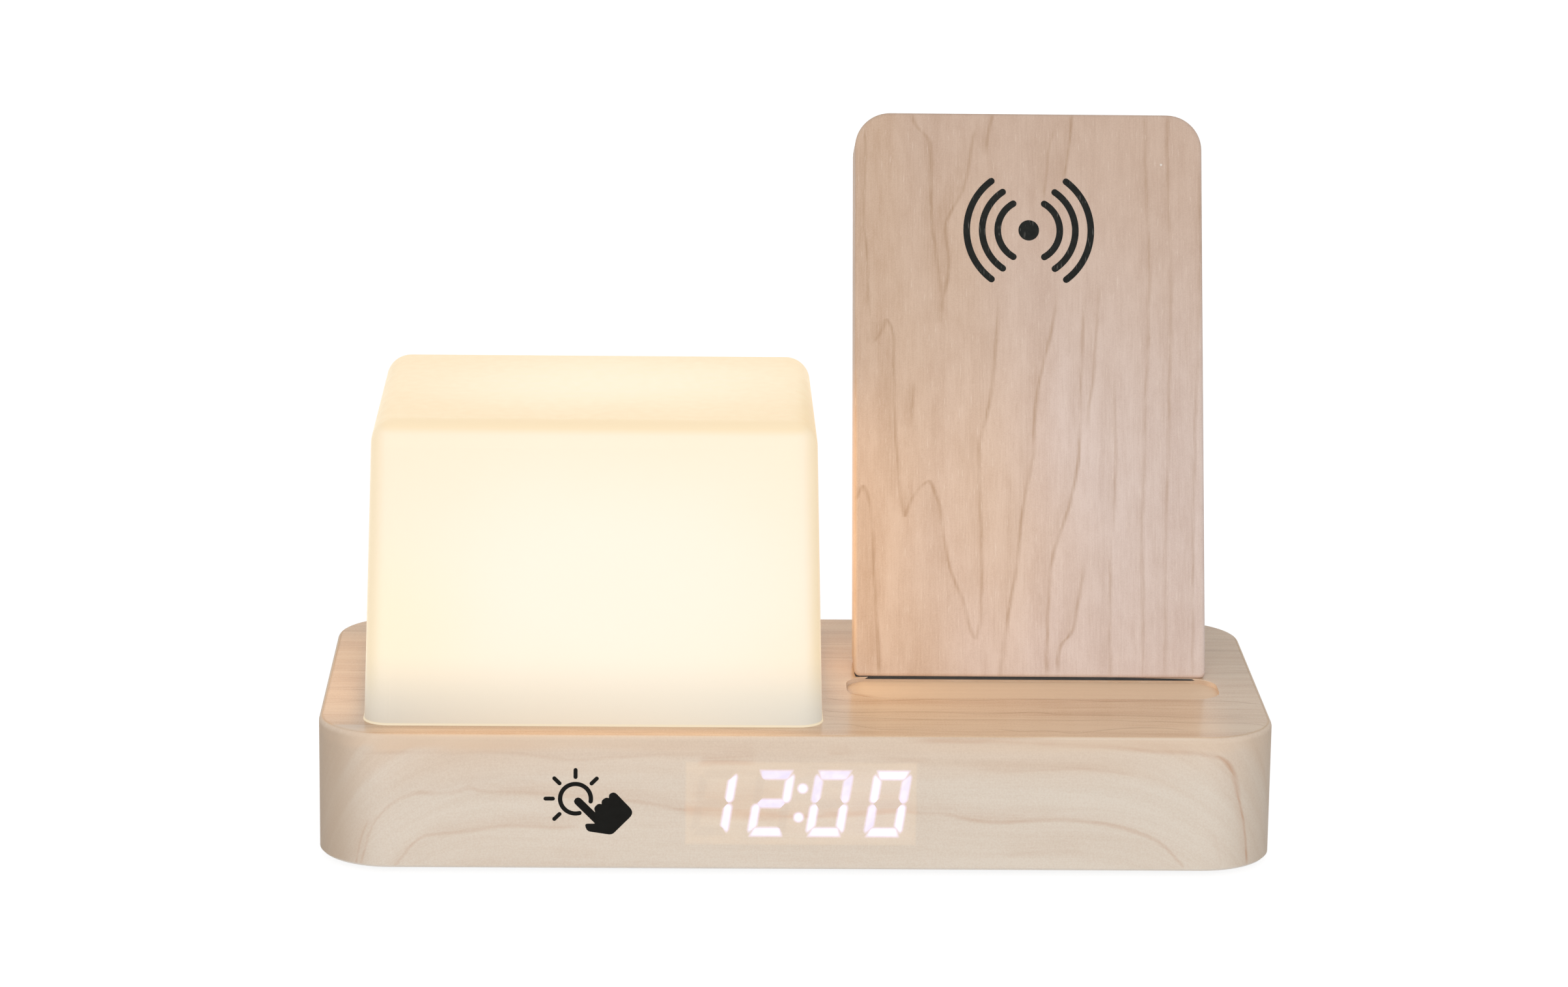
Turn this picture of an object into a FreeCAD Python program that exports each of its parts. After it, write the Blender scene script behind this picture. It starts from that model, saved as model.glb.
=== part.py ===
import FreeCAD, Part
import math
import os
import Sketcher

# Bedside clock: a hollow wooden base with a hidden display, a night lamp and a leaning
# charging stand. Millimetres and degrees. X runs to the right, Y to the back, Z up.
# Places are counted from the middle of the base, with Z zero at the ground, and
# shift_back then moves everything so that the origin lies under the middle of the whole.

SIZES = (
    # Wooden base, milled hollow from below
    ("base_length", 208.0),
    ("base_depth", 98.5),
    ("base_height", 30.0),
    ("base_corner", 16.0),
    ("base_edge", 1.2),
    ("base_foot_edge", 0.5),
    ("base_wall", 8.0),
    ("base_roof", 5.0),
    ("cavity_corner", 18.0),
    # Bottom cover let into the base, and what stands on it
    ("rim_width", 4.0),
    ("cover_thickness", 2.5),
    ("seat_gap", 0.2),
    ("glue_gap", 0.05),
    ("corner_screw_inset", 8.0),
    ("foot_diameter", 12.0),
    ("foot_proud", 1.2),
    ("foot_sink", 0.8),
    ("foot_inset", 20.0),
    ("foot_bevel", 0.4),
    ("vent_length", 22.0),
    ("vent_width", 2.0),
    ("vent_pitch", 5.0),
    ("vent_from_end", 30.0),
    ("buzzer_diameter", 14.0),
    ("buzzer_thickness", 7.5),
    ("buzzer_ring", 1.5),
    ("buzzer_ring_rise", 3.0),
    ("buzzer_from_end", 24.0),
    ("buzzer_front", 10.0),
    ("sound_hole", 1.5),
    ("sound_ring", 3.4),
    # Screws: a wood screw for covers and lamp, a long one for the stand, a small one
    ("wood_screw", 2.6),
    ("wood_screw_head", 5.2),
    ("wood_screw_head_rise", 1.6),
    ("wood_screw_length", 9.0),
    ("stand_screw", 3.5),
    ("stand_screw_head", 7.0),
    ("stand_screw_head_rise", 2.0),
    ("stand_screw_length", 17.0),
    ("board_screw", 2.0),
    ("board_screw_head", 3.8),
    ("board_screw_head_rise", 1.3),
    ("board_screw_length", 4.5),
    ("screw_play", 0.4),
    ("thread_play", 0.1),
    ("pilot_past", 0.4),
    ("head_sunk", 0.1),
    ("cut_past", 1.0),
    # Phone groove in front of the stand
    ("groove_past_stand", 2.0),
    ("groove_width", 17.0),
    ("groove_depth", 1.0),
    ("groove_corner", 6.0),
    ("groove_under_stand", 0.6),
    # Display behind a thin skin in the front wall
    ("window_width", 50.3),
    ("window_height", 19.0),
    ("window_right", 0.8),
    ("window_rise", 14.9),
    ("window_skin", 0.8),
    ("display_board_width", 66.0),
    ("standing_board_inset", 3.5),
    ("ribbon_width", 14.0),
    ("ribbon_thickness", 1.0),
    ("ribbon_bend", 4.0),
    ("ribbon_reach", 18.0),
    # Touch pad behind the front wall
    ("touch_from_window", 19.35),
    ("touch_rise", 13.0),
    ("touch_diameter", 16.0),
    ("touch_thickness", 1.0),
    ("touch_skin", 2.5),
    ("touch_lead_diameter", 1.2),
    ("touch_lead_bend", 3.0),
    ("touch_lead_landing", 6.0),
    # Circuit boards and the parts that stand on them
    ("board_thickness", 1.6),
    ("board_corner", 1.5),
    ("board_past_stand", 7.75),
    ("main_board_depth", 56.0),
    ("board_past_touch", 7.3),
    ("main_board_back", 2.0),
    ("standoff_rise", 4.0),
    ("standoff_diameter", 6.0),
    ("board_hole_inset", 4.0),
    ("chip_width", 10.0),
    ("chip_thickness", 1.2),
    ("cell_diameter", 20.0),
    ("cell_thickness", 3.2),
    ("cell_play", 0.3),
    ("cell_holder_wall", 1.6),
    ("cell_holder_floor", 1.0),
    ("cell_right", 25.0),
    ("cell_front", 12.0),
    ("capacitor_diameter", 8.0),
    ("capacitor_height", 8.0),
    ("capacitor_pitch", 13.0),
    ("capacitor_right", 11.0),
    ("capacitor_back", 15.0),
    # Rear panel with three sprung buttons and the power socket
    ("panel_length", 92.0),
    ("panel_height", 18.0),
    ("panel_corner", 4.0),
    ("panel_thickness", 2.5),
    ("panel_rise", 14.0),
    ("panel_screw_inset", 4.5),
    ("panel_screw_length", 6.0),
    ("slot_from_panel_end", 9.0),
    ("slot_from_panel_edge", 3.0),
    ("rear_board_past_panel", 4.0),
    ("rear_board_height", 17.0),
    ("button_diameter", 7.0),
    ("button_proud", 1.0),
    ("button_dome", 0.5),
    ("button_play", 0.1),
    ("button_stop_gap", 0.2),
    ("button_flange", 9.4),
    ("button_pitch", 13.0),
    ("button_left", 28.0),
    ("button_travel", 0.3),
    ("switch_width", 6.0),
    ("switch_depth", 3.5),
    ("switch_clear", 0.6),
    ("stem_diameter", 3.4),
    ("stem_sunk", 1.2),
    ("stem_end_room", 0.4),
    ("socket_width", 9.0),
    ("socket_height", 3.3),
    ("socket_wall", 0.35),
    ("socket_sunk", 0.5),
    ("socket_right", 24.0),
    ("tongue_width", 6.6),
    ("tongue_thickness", 0.7),
    ("tongue_back", 1.0),
    ("socket_mouth_depth", 6.2),
    # Night lamp: a drafted opal shade over a tray with the lamp board
    ("lamp_from_end", 10.05),
    ("lamp_to_stand", 8.2),
    ("lamp_depth", 79.0),
    ("lamp_height", 66.5),
    ("lamp_front", 2.7),
    ("lamp_draft", 1.65),
    ("lamp_wall", 2.0),
    ("lamp_rounding", 5.5),
    ("tray_gap", 0.3),
    ("tray_corner", 3.5),
    ("tray_height", 5.0),
    ("tray_floor", 2.0),
    ("tray_wall", 1.6),
    ("tray_boss_diameter", 7.0),
    ("lamp_screw_inset_x", 13.75),
    ("lamp_screw_inset_y", 13.5),
    ("lamp_board_inset", 19.75),
    ("lamp_board_depth", 44.0),
    ("lamp_board_rise", 5.0),
    ("led_length", 3.5),
    ("led_width", 2.8),
    ("led_thickness", 0.8),
    ("led_inset_x", 6.0),
    ("led_inset_y", 8.0),
    ("lamp_lead_diameter", 2.4),
    ("lamp_lead_bend", 4.0),
    ("lamp_lead_beside", 7.8),
    ("lamp_lead_shift", 12.0),
    ("lamp_lead_level", 16.5),
    ("lead_hole_play", 1.0),
    # Leaning charging stand
    ("stand_width", 79.0),
    ("stand_height", 129.0),
    ("stand_thickness", 14.0),
    ("stand_lean", 20.8),
    ("stand_from_end", 11.25),
    ("stand_front", 1.9),
    ("stand_top_corner", 8.0),
    ("stand_foot_corner", 1.2),
    ("stand_edge", 0.8),
    ("stand_skin", 3.0),
    ("coil_rise", 78.0),
    ("stand_pocket_inset", 9.5),
    ("stand_pocket_corner", 8.0),
    ("stand_cover_rim", 5.0),
    ("stand_cover_corner", 6.0),
    ("stand_cover_thickness", 3.0),
    ("stand_cover_screw_inset", 5.0),
    ("stand_screw_inset", 15.5),
    ("stand_screw_back", 9.0),
    ("coil_diameter", 44.0),
    ("coil_bore", 21.0),
    ("coil_thickness", 1.2),
    ("ferrite_width", 48.0),
    ("ferrite_height", 46.0),
    ("ferrite_thickness", 0.8),
    ("carrier_gap", 2.0),
    ("carrier_height", 46.0),
    ("carrier_thickness", 1.5),
    ("carrier_post", 5.0),
    ("carrier_post_rise", 1.5),
    ("carrier_post_inset", 3.5),
    ("carrier_boss_gap", 0.3),
    ("charger_board_thickness", 1.0),
    ("charger_screw_length", 2.4),
    ("coil_lead_diameter", 2.4),
    ("coil_lead_inset", 6.5),
    ("coil_lead_bend", 10.0),
    ("coil_lead_tail", 6.0),
)

document = FreeCAD.newDocument("bedside_clock")
sheet = document.addObject("Spreadsheet::Sheet", "Sizes")
for row, (alias, number) in enumerate(SIZES, start=1):
    sheet.set(f"A{row}", alias)
    sheet.set(f"B{row}", str(number))
    sheet.setAlias(f"B{row}", alias)
document.recompute()


class Size:
    """A number that keeps the spreadsheet formula it comes from."""

    def __init__(self, value, formula=None):
        self.value = float(value)
        self.formula = f"({value})" if formula is None else formula

    def combine(self, sign, other, value):
        return Size(value, f"({self.formula} {sign} {other.formula})")

    def __add__(self, other):
        other = sized(other)
        return self.combine("+", other, self.value + other.value)

    def __radd__(self, other):
        return sized(other) + self

    def __sub__(self, other):
        other = sized(other)
        return self.combine("-", other, self.value - other.value)

    def __rsub__(self, other):
        return sized(other) - self

    def __mul__(self, other):
        other = sized(other)
        return self.combine("*", other, self.value * other.value)

    def __rmul__(self, other):
        return sized(other) * self

    def __truediv__(self, other):
        other = sized(other)
        return self.combine("/", other, self.value / other.value)

    def __neg__(self):
        return Size(-self.value, f"(-{self.formula})")


def sized(number):
    return number if isinstance(number, Size) else Size(number)


def sine(angle):
    return Size(math.sin(math.radians(angle.value)), f"sin({angle.formula})")


def cosine(angle):
    return Size(math.cos(math.radians(angle.value)), f"cos({angle.formula})")


def tangent(angle):
    return Size(math.tan(math.radians(angle.value)), f"tan({angle.formula})")


def larger(first, second):
    return Size(max(first.value, second.value), f"max({first.formula}; {second.formula})")


size = {alias: Size(number, f"Sizes.{alias}") for alias, number in SIZES}

HALF = sized(0.5)
ZERO = sized(0.0)

# Heights above the ground and places in depth that several pieces share
block_floor = size["foot_proud"]
block_top = block_floor + size["base_height"]
cavity_roof = block_top - size["base_roof"]
cover_top = block_floor + size["cover_thickness"]
front_face = -size["base_depth"] * HALF
back_face = size["base_depth"] * HALF
front_inside = front_face + size["base_wall"]
back_inside = back_face - size["base_wall"]
panel_inside = back_face - size["panel_thickness"]
main_board_floor = cover_top + size["standoff_rise"]
main_board_top = main_board_floor + size["board_thickness"]
window_level = block_floor + size["window_rise"]
panel_level = block_floor + size["panel_rise"]
touch_level = block_floor + size["touch_rise"]
window_x = size["window_right"]
touch_x = window_x - size["window_width"] * HALF - size["touch_from_window"]
stand_x = (size["base_length"] - size["stand_width"]) * HALF - size["stand_from_end"]
lamp_right_end = stand_x - size["stand_width"] * HALF - size["lamp_to_stand"]
lamp_left_end = size["lamp_from_end"] - size["base_length"] * HALF
lamp_width = lamp_right_end - lamp_left_end
lamp_x = (lamp_right_end + lamp_left_end) * HALF
lamp_y = -size["lamp_front"]
buzzer_x = size["base_length"] * HALF - size["buzzer_from_end"]
first_vent_x = size["vent_from_end"] - size["base_length"] * HALF
main_board_left_end = touch_x - size["board_past_touch"]
main_board_right_end = stand_x + size["board_past_stand"]
main_board_length = main_board_right_end - main_board_left_end
main_board_x = (main_board_right_end + main_board_left_end) * HALF
main_board_y = size["main_board_back"]
cell_x = main_board_x + size["cell_right"]
cell_y = main_board_y - size["cell_front"]
capacitor_x = main_board_x + size["capacitor_right"]
capacitor_y = main_board_y + size["capacitor_back"]
lamp_lead_x = lamp_x - size["lamp_lead_beside"]
stand_reach = (
    (size["stand_height"] - size["stand_edge"]) * sine(size["stand_lean"])
    + (size["stand_thickness"] - size["stand_edge"]) * cosine(size["stand_lean"])
    + size["stand_edge"]
    - size["stand_front"]
)
furthest_back = larger(stand_reach, back_face + size["button_proud"])
shift_back = (front_face + furthest_back) * sized(-0.5)

nodes = []


def place(body, x, y, z, lean=None):
    """Put a body at a place counted from the middle of the base, leaning back if asked."""
    y = y + shift_back
    turn = FreeCAD.Rotation(FreeCAD.Vector(-1, 0, 0), 0.0 if lean is None else lean.value)
    body.Placement = FreeCAD.Placement(FreeCAD.Vector(x.value, y.value, z.value), turn)
    for axis, distance in (("x", x), ("y", y), ("z", z)):
        body.setExpression(f"Placement.Base.{axis}", distance.formula)
    if lean is not None:
        body.setExpression("Placement.Rotation.Angle", lean.formula)


def new_body(name, x=ZERO, y=ZERO, z=ZERO, lean=None):
    body = document.addObject("PartDesign::Body", name)
    body.Label = name
    place(body, x, y, z, lean)
    nodes.append(body)
    return body


def origin_part(body, role):
    return next(part for part in body.Origin.OriginFeatures if part.Role == role)


def new_sketch(body, name, plane="XY", level=ZERO, across=ZERO, along=ZERO, tilt=None):
    """A sketch on an origin plane, level mm along its normal, moved across and along it."""
    sketch = body.newObject("Sketcher::SketchObject", f"{body.Label}_{name}")
    sketch.AttachmentSupport = [(origin_part(body, f"{plane}_Plane"), "")]
    sketch.MapMode = "FlatFace"
    turn = FreeCAD.Rotation(FreeCAD.Vector(1, 0, 0), 0.0 if tilt is None else tilt.value)
    offset = FreeCAD.Vector(across.value, along.value, level.value)
    sketch.AttachmentOffset = FreeCAD.Placement(offset, turn)
    for axis, distance in (("x", across), ("y", along), ("z", level)):
        sketch.setExpression(f"AttachmentOffset.Base.{axis}", distance.formula)
    if tilt is not None:
        sketch.setExpression("AttachmentOffset.Rotation.Angle", tilt.formula)
    return sketch


def constrain(sketch, name, measure, *arguments):
    index = sketch.addConstraint(Sketcher.Constraint(*arguments, measure.value))
    sketch.renameConstraint(index, name)
    sketch.setExpression(f"Constraints.{name}", measure.formula)


def line(start, end):
    return Part.LineSegment(FreeCAD.Vector(*start, 0), FreeCAD.Vector(*end, 0))


def arc(centre, radius, start_angle, end_angle):
    circle = Part.Circle(FreeCAD.Vector(*centre, 0), FreeCAD.Vector(0, 0, 1), radius)
    return Part.ArcOfCircle(circle, math.radians(start_angle), math.radians(end_angle))


def draw_circle(sketch, diameter):
    circle = Part.Circle(FreeCAD.Vector(0, 0, 0), FreeCAD.Vector(0, 0, 1), diameter.value / 2)
    ring = sketch.addGeometry(circle, False)
    sketch.addConstraint(Sketcher.Constraint("Coincident", ring, 3, -1, 1))
    constrain(sketch, f"diameter_{ring}", diameter, "Diameter", ring)


def draw_rectangle(sketch, width, height):
    x, y = width.value / 2, height.value / 2
    corners = ((-x, -y), (x, -y), (x, y), (-x, y))
    sides = [sketch.addGeometry(line(corners[i], corners[(i + 1) % 4]), False) for i in range(4)]
    for i, side in enumerate(sides):
        sketch.addConstraint(Sketcher.Constraint("Coincident", side, 2, sides[(i + 1) % 4], 1))
        sketch.addConstraint(Sketcher.Constraint("Vertical" if i % 2 else "Horizontal", side))
    sketch.addConstraint(Sketcher.Constraint("Symmetric", sides[0], 1, sides[1], 2, -1, 1))
    constrain(sketch, "width", width, "DistanceX", sides[0], 1, sides[0], 2)
    constrain(sketch, "height", height, "DistanceY", sides[1], 1, sides[1], 2)


def draw_rounded_rectangle(sketch, width, height, corner):
    """A centred rectangle whose four corners are tangent arcs of one radius."""
    x, y, r = width.value / 2, height.value / 2, corner.value
    edges = (
        line((r - x, -y), (x - r, -y)),
        arc((x - r, r - y), r, 270, 360),
        line((x, r - y), (x, y - r)),
        arc((x - r, y - r), r, 0, 90),
        line((x - r, y), (r - x, y)),
        arc((r - x, y - r), r, 90, 180),
        line((-x, y - r), (-x, r - y)),
        arc((r - x, r - y), r, 180, 270),
    )
    drawn = [sketch.addGeometry(edge, False) for edge in edges]
    for i, edge in enumerate(drawn):
        sketch.addConstraint(Sketcher.Constraint("Tangent", edge, 2, drawn[(i + 1) % 8], 1))
    for i in (0, 4):
        sketch.addConstraint(Sketcher.Constraint("Horizontal", drawn[i]))
    for i in (2, 6):
        sketch.addConstraint(Sketcher.Constraint("Vertical", drawn[i]))
    for i in (3, 5, 7):
        sketch.addConstraint(Sketcher.Constraint("Equal", drawn[1], drawn[i]))
    sketch.addConstraint(Sketcher.Constraint("Symmetric", drawn[3], 3, drawn[7], 3, -1, 1))
    constrain(sketch, "width", width, "DistanceX", drawn[6], 1, drawn[2], 1)
    constrain(sketch, "height", height, "DistanceY", drawn[0], 1, drawn[4], 1)
    constrain(sketch, "corner", corner, "Radius", drawn[1])


def draw_outline(sketch, points):
    """A closed outline of straight sides whose corners are each held by two distances."""
    flat = [(across.value, along.value) for across, along in points]
    count = len(flat)
    sides = [sketch.addGeometry(line(flat[i], flat[(i + 1) % count]), False) for i in range(count)]
    for i, side in enumerate(sides):
        sketch.addConstraint(Sketcher.Constraint("Coincident", side, 2, sides[(i + 1) % count], 1))
        hold_point(sketch, side, 1, points[i], f"corner_{i}")
    return sides


def hold_point(sketch, edge, end, point, name):
    """Tie one end of an edge to its distances from the sketch's origin."""
    for kind, axis, line_id, distance in (
        ("DistanceX", "across", -2, point[0]),
        ("DistanceY", "along", -1, point[1]),
    ):
        if distance is ZERO:
            sketch.addConstraint(Sketcher.Constraint("PointOnObject", edge, end, line_id))
        else:
            constrain(sketch, f"{name}_{axis}", distance, kind, -1, 1, edge, end)


def add_feature(body, kind, name, profile):
    feature = body.newObject(f"PartDesign::{kind}", f"{body.Label}_{name}")
    feature.Profile = profile
    return feature


def must_change(body, before, name):
    """Stop if a feature failed or left the body as it was."""
    document.recompute()
    after = body.Shape.Volume
    if not body.Shape.isValid() or abs(after - before) < 1e-4:
        raise RuntimeError(f"{body.Label}: {name} changed nothing")


def volume(body):
    document.recompute()
    return 0.0 if body.Shape.isNull() else body.Shape.Volume


def pad(body, name, profile, length, reversed_way=False, midplane=False, taper=None):
    before = volume(body)
    feature = add_feature(body, "Pad", name, profile)
    feature.setExpression("Length", length.formula)
    feature.Reversed = reversed_way
    feature.Midplane = midplane
    if taper is not None:
        feature.setExpression("TaperAngle", taper.formula)
    must_change(body, before, name)
    return feature


def pocket(body, name, profile, length, reversed_way=False, taper=None):
    before = volume(body)
    feature = add_feature(body, "Pocket", name, profile)
    feature.setExpression("Length", length.formula)
    feature.Reversed = reversed_way
    if taper is not None:
        feature.setExpression("TaperAngle", taper.formula)
    must_change(body, before, name)
    return feature


# A step of a two-way pattern with this value takes the pattern's common spacing
COMMON_SPACING = -1.0


def repeat(body, name, original, first, second=None):
    """Repeat a feature along one or two axes: each is an axis name, a spacing and a count."""
    before = volume(body)
    pattern = body.newObject("PartDesign::LinearPattern", f"{body.Label}_{name}")
    pattern.Originals = [original]
    pattern.Direction = (origin_part(body, f"{first[0]}_Axis"), [""])
    pattern.Mode = "Spacing"
    pattern.setExpression("Offset", first[1].formula)
    pattern.Occurrences = first[2]
    if second is not None:
        pattern.Direction2 = (origin_part(body, f"{second[0]}_Axis"), [""])
        pattern.Mode2 = "Spacing"
        pattern.setExpression("Offset2", second[1].formula)
        pattern.Occurrences2 = second[2]
        pattern.Spacings2 = [COMMON_SPACING] * (second[2] - 1)
    body.Tip = pattern
    must_change(body, before, name)
    return pattern


def round_edges(body, name, radius, chosen, kind="Fillet"):
    """Round or bevel the edges of the body's tip that the test chooses."""
    before = volume(body)
    tip = body.Tip
    names = [f"Edge{i}" for i, edge in enumerate(tip.Shape.Edges, start=1) if chosen(edge)]
    feature = body.newObject(f"PartDesign::{kind}", f"{body.Label}_{name}")
    feature.Base = (tip, names)
    feature.setExpression("Radius" if kind == "Fillet" else "Size", radius.formula)
    must_change(body, before, name)
    return feature


def edge_at_level(level, axis="z"):
    """A test for edges that lie wholly at one level of an axis of the body's own frame."""
    index = "xyz".index(axis)

    def chosen(edge):
        box = edge.BoundBox
        low = (box.XMin, box.YMin, box.ZMin)[index]
        high = (box.XMax, box.YMax, box.ZMax)[index]
        return abs(low - level) < 1e-3 and abs(high - level) < 1e-3

    return chosen


def draw_ring(sketch, outer, inner):
    draw_circle(sketch, outer)
    draw_circle(sketch, inner)


def draw_route(sketch, points, bend):
    """An open route through points, its corners rounded by tangent arcs of one radius."""
    flat = [FreeCAD.Vector(across.value, along.value, 0) for across, along in points]
    runs = len(points) - 1
    turns = []
    for i in range(1, runs):
        back = (flat[i - 1] - flat[i]).normalize()
        ahead = (flat[i + 1] - flat[i]).normalize()
        half = back.getAngle(ahead) / 2
        reach = bend.value / math.tan(half)
        centre = flat[i] + (back + ahead).normalize() * (bend.value / math.sin(half))
        to_left = ahead.cross(back).z > 0
        turns.append((flat[i] + back * reach, centre, flat[i] + ahead * reach, to_left))
    guides = []
    lines = []
    for i in range(runs):
        start = turns[i - 1][2] if i else flat[0]
        end = turns[i][0] if i < runs - 1 else flat[-1]
        guides.append(sketch.addGeometry(Part.LineSegment(flat[i], flat[i + 1]), True))
        lines.append(sketch.addGeometry(Part.LineSegment(start, end), False))
    for i, guide in enumerate(guides):
        hold_point(sketch, guide, 1, points[i], f"point_{i}")
        if i < runs - 1:
            sketch.addConstraint(Sketcher.Constraint("Coincident", guide, 2, guides[i + 1], 1))
    hold_point(sketch, guides[-1], 2, points[-1], f"point_{runs}")
    for i, run in enumerate(lines):
        for end, at_route_end in ((1, i == 0), (2, i == runs - 1)):
            if at_route_end:
                sketch.addConstraint(Sketcher.Constraint("Coincident", run, end, guides[i], end))
            else:
                sketch.addConstraint(Sketcher.Constraint("PointOnObject", run, end, guides[i]))
    for i, (start, centre, end, to_left) in enumerate(turns):
        opening = bearing(centre, start if to_left else end)
        closing = bearing(centre, end if to_left else start)
        if closing < opening:
            closing = closing + 360
        bow = arc((centre.x, centre.y), bend.value, opening, closing)
        curve = sketch.addGeometry(bow, False)
        near, far = (1, 2) if to_left else (2, 1)
        sketch.addConstraint(Sketcher.Constraint("Tangent", lines[i], 2, curve, near))
        sketch.addConstraint(Sketcher.Constraint("Tangent", curve, far, lines[i + 1], 1))
        constrain(sketch, f"bend_{i}", bend, "Radius", curve)


def bearing(centre, point):
    return math.degrees(math.atan2(point.y - centre.y, point.x - centre.x))


def pipe(body, name, profile, spine):
    """Sweep a profile along a route and compare its volume with section times length."""
    before = volume(body)
    feature = add_feature(body, "AdditivePipe", name, profile)
    feature.Spine = (spine, [])
    must_change(body, before, name)
    expected = Part.Face(Part.Wire(profile.Shape.Edges)).Area * spine.Shape.Length
    if abs(body.Shape.Volume - expected) > 0.02 * expected:
        raise RuntimeError(f"{body.Label}: the sweep lost its shape")
    return feature


def screw_holes(body, name, profile, kind, sink, reversed_way=False):
    """A clearance hole through a cover with a round seat for the screw's head."""
    before = volume(body)
    hole = add_feature(body, "Hole", name, profile)
    hole.Threaded = False
    hole.DepthType = "ThroughAll"
    hole.HoleCutType = "Counterbore"
    hole.HoleCutCustomValues = True
    hole.Reversed = reversed_way
    hole.setExpression("Diameter", (size[kind] + size["screw_play"]).formula)
    head_seat = size[f"{kind}_head"] + size["screw_play"]
    hole.setExpression("HoleCutDiameter", head_seat.formula)
    hole.setExpression("HoleCutDepth", sink.formula)
    must_change(body, before, name)
    return hole


# Shapes that several pieces are made from

HEAD_CROWN = sized(0.8)
HEAD_RIM = sized(0.6)
POINT_SHARE = sized(0.35)


def board(name, at, length, depth, thickness, spacing_x, spacing_y=ZERO, plane="XY", lean=None):
    """A circuit board, lying (XY) or standing (XZ), with a screw hole near each corner."""
    standing = plane == "XZ"
    body = new_body(name, *at, lean)
    outline = new_sketch(body, "outline", plane)
    draw_rounded_rectangle(outline, length, depth, size["board_corner"])
    pad(body, "board", outline, thickness, reversed_way=standing)
    corner = new_sketch(body, "hole", plane, ZERO, -spacing_x * HALF, -spacing_y * HALF)
    draw_circle(corner, size["board_screw"] + size["screw_play"])
    hole = pocket(body, "first_hole", corner, thickness, reversed_way=not standing)
    second = None if spacing_y is ZERO else ("Z" if standing else "Y", spacing_y, 2)
    repeat(body, "holes", hole, ("X", spacing_x, 2), second)
    return body


def screw_set(name, at, kind, length, first, second=None, facing="Z", points_on=True, lean=None):
    """Identical screws; the head's underside lies at the given place, the point ahead of it."""
    body = new_body(name, *at, lean)
    shank = size[kind] * HALF
    head = size[f"{kind}_head"] * HALF
    rise = size[f"{kind}_head_rise"]
    ahead = sized(1.0 if points_on else -1.0)
    across = -first[1] * HALF
    beside = ZERO if second is None else -second[1] * HALF
    plane, level = ("XZ", -beside) if facing == "Z" else ("XY", beside)
    profile = new_sketch(body, "profile", plane, level, across)
    outline = (
        (ZERO, -ahead * rise),
        (head * HEAD_CROWN, -ahead * rise),
        (head, -ahead * rise * HEAD_RIM),
        (head, ZERO),
        (shank, ZERO),
        (shank, ahead * (length - shank)),
        (shank * POINT_SHARE, ahead * length),
        (ZERO, ahead * length),
    )
    draw_outline(profile, outline)
    before = volume(body)
    turned = add_feature(body, "Revolution", "turned", profile)
    turned.ReferenceAxis = (profile, ["V_Axis"])
    turned.Angle = 360.0
    must_change(body, before, "turned")
    repeat(body, "set", turned, first, second)
    return body


def tubes(body, name, level, across, along, outer, inner, rise, first=None, second=None):
    """Hollow posts standing on a face of a lying piece."""
    ring = new_sketch(body, name, "XY", level, across, along)
    draw_ring(ring, outer, inner)
    post = pad(body, f"{name}_post", ring, rise)
    if first is not None:
        repeat(body, f"{name}_set", post, first, second)


# Wooden base

corner_reach = size["base_corner"] - size["corner_screw_inset"]
corner_screw_x = size["base_length"] - 2 * size["base_corner"] + 2 * corner_reach * cosine(sized(45))
corner_screw_y = size["base_depth"] - 2 * size["base_corner"] + 2 * corner_reach * cosine(sized(45))
foot_spacing_x = size["base_length"] - 2 * size["foot_inset"]
foot_spacing_y = size["base_depth"] - 2 * size["foot_inset"]
groove_length = size["stand_width"] + 2 * size["groove_past_stand"]
display_spacing = size["display_board_width"] - 2 * size["standing_board_inset"]
panel_spacing = size["panel_length"] - 2 * size["panel_screw_inset"]
rear_slot_length = size["panel_length"] - 2 * size["slot_from_panel_end"]
rear_slot_height = size["panel_height"] - 2 * size["slot_from_panel_edge"]
rear_board_length = size["panel_length"] + 2 * size["rear_board_past_panel"]
rear_board_spacing = rear_board_length - 2 * size["standing_board_inset"]
lamp_spacing_x = lamp_width - 2 * size["lamp_screw_inset_x"]
lamp_spacing_y = size["lamp_depth"] - 2 * size["lamp_screw_inset_y"]
stand_screw_spacing = size["stand_width"] - 2 * size["stand_screw_inset"]
main_spacing_x = main_board_length - 2 * size["board_hole_inset"]
main_spacing_y = size["main_board_depth"] - 2 * size["board_hole_inset"]
lamp_board_length = lamp_width - 2 * size["lamp_board_inset"]
lamp_board_spacing_x = lamp_board_length - 2 * size["board_hole_inset"]
lamp_board_spacing_y = size["lamp_board_depth"] - 2 * size["board_hole_inset"]
wood_pilot = size["wood_screw"] + size["thread_play"]
board_pilot = size["board_screw"] + size["thread_play"]
cover_head_seat = size["wood_screw_head_rise"] + size["head_sunk"]
panel_head_seat = size["board_screw_head_rise"] + size["head_sunk"]
panel_under_head = size["panel_thickness"] - panel_head_seat
groove_middle = size["groove_under_stand"] - size["stand_front"] - size["groove_width"] * HALF
coil_lead_y = size["coil_lead_inset"] / cosine(size["stand_lean"]) - size["stand_front"]
stand_screw_y = size["stand_screw_back"] - size["stand_front"]
lamp_lead_hole = size["lamp_lead_diameter"] + size["lead_hole_play"]
coil_lead_hole = size["coil_lead_diameter"] + size["lead_hole_play"]


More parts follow.
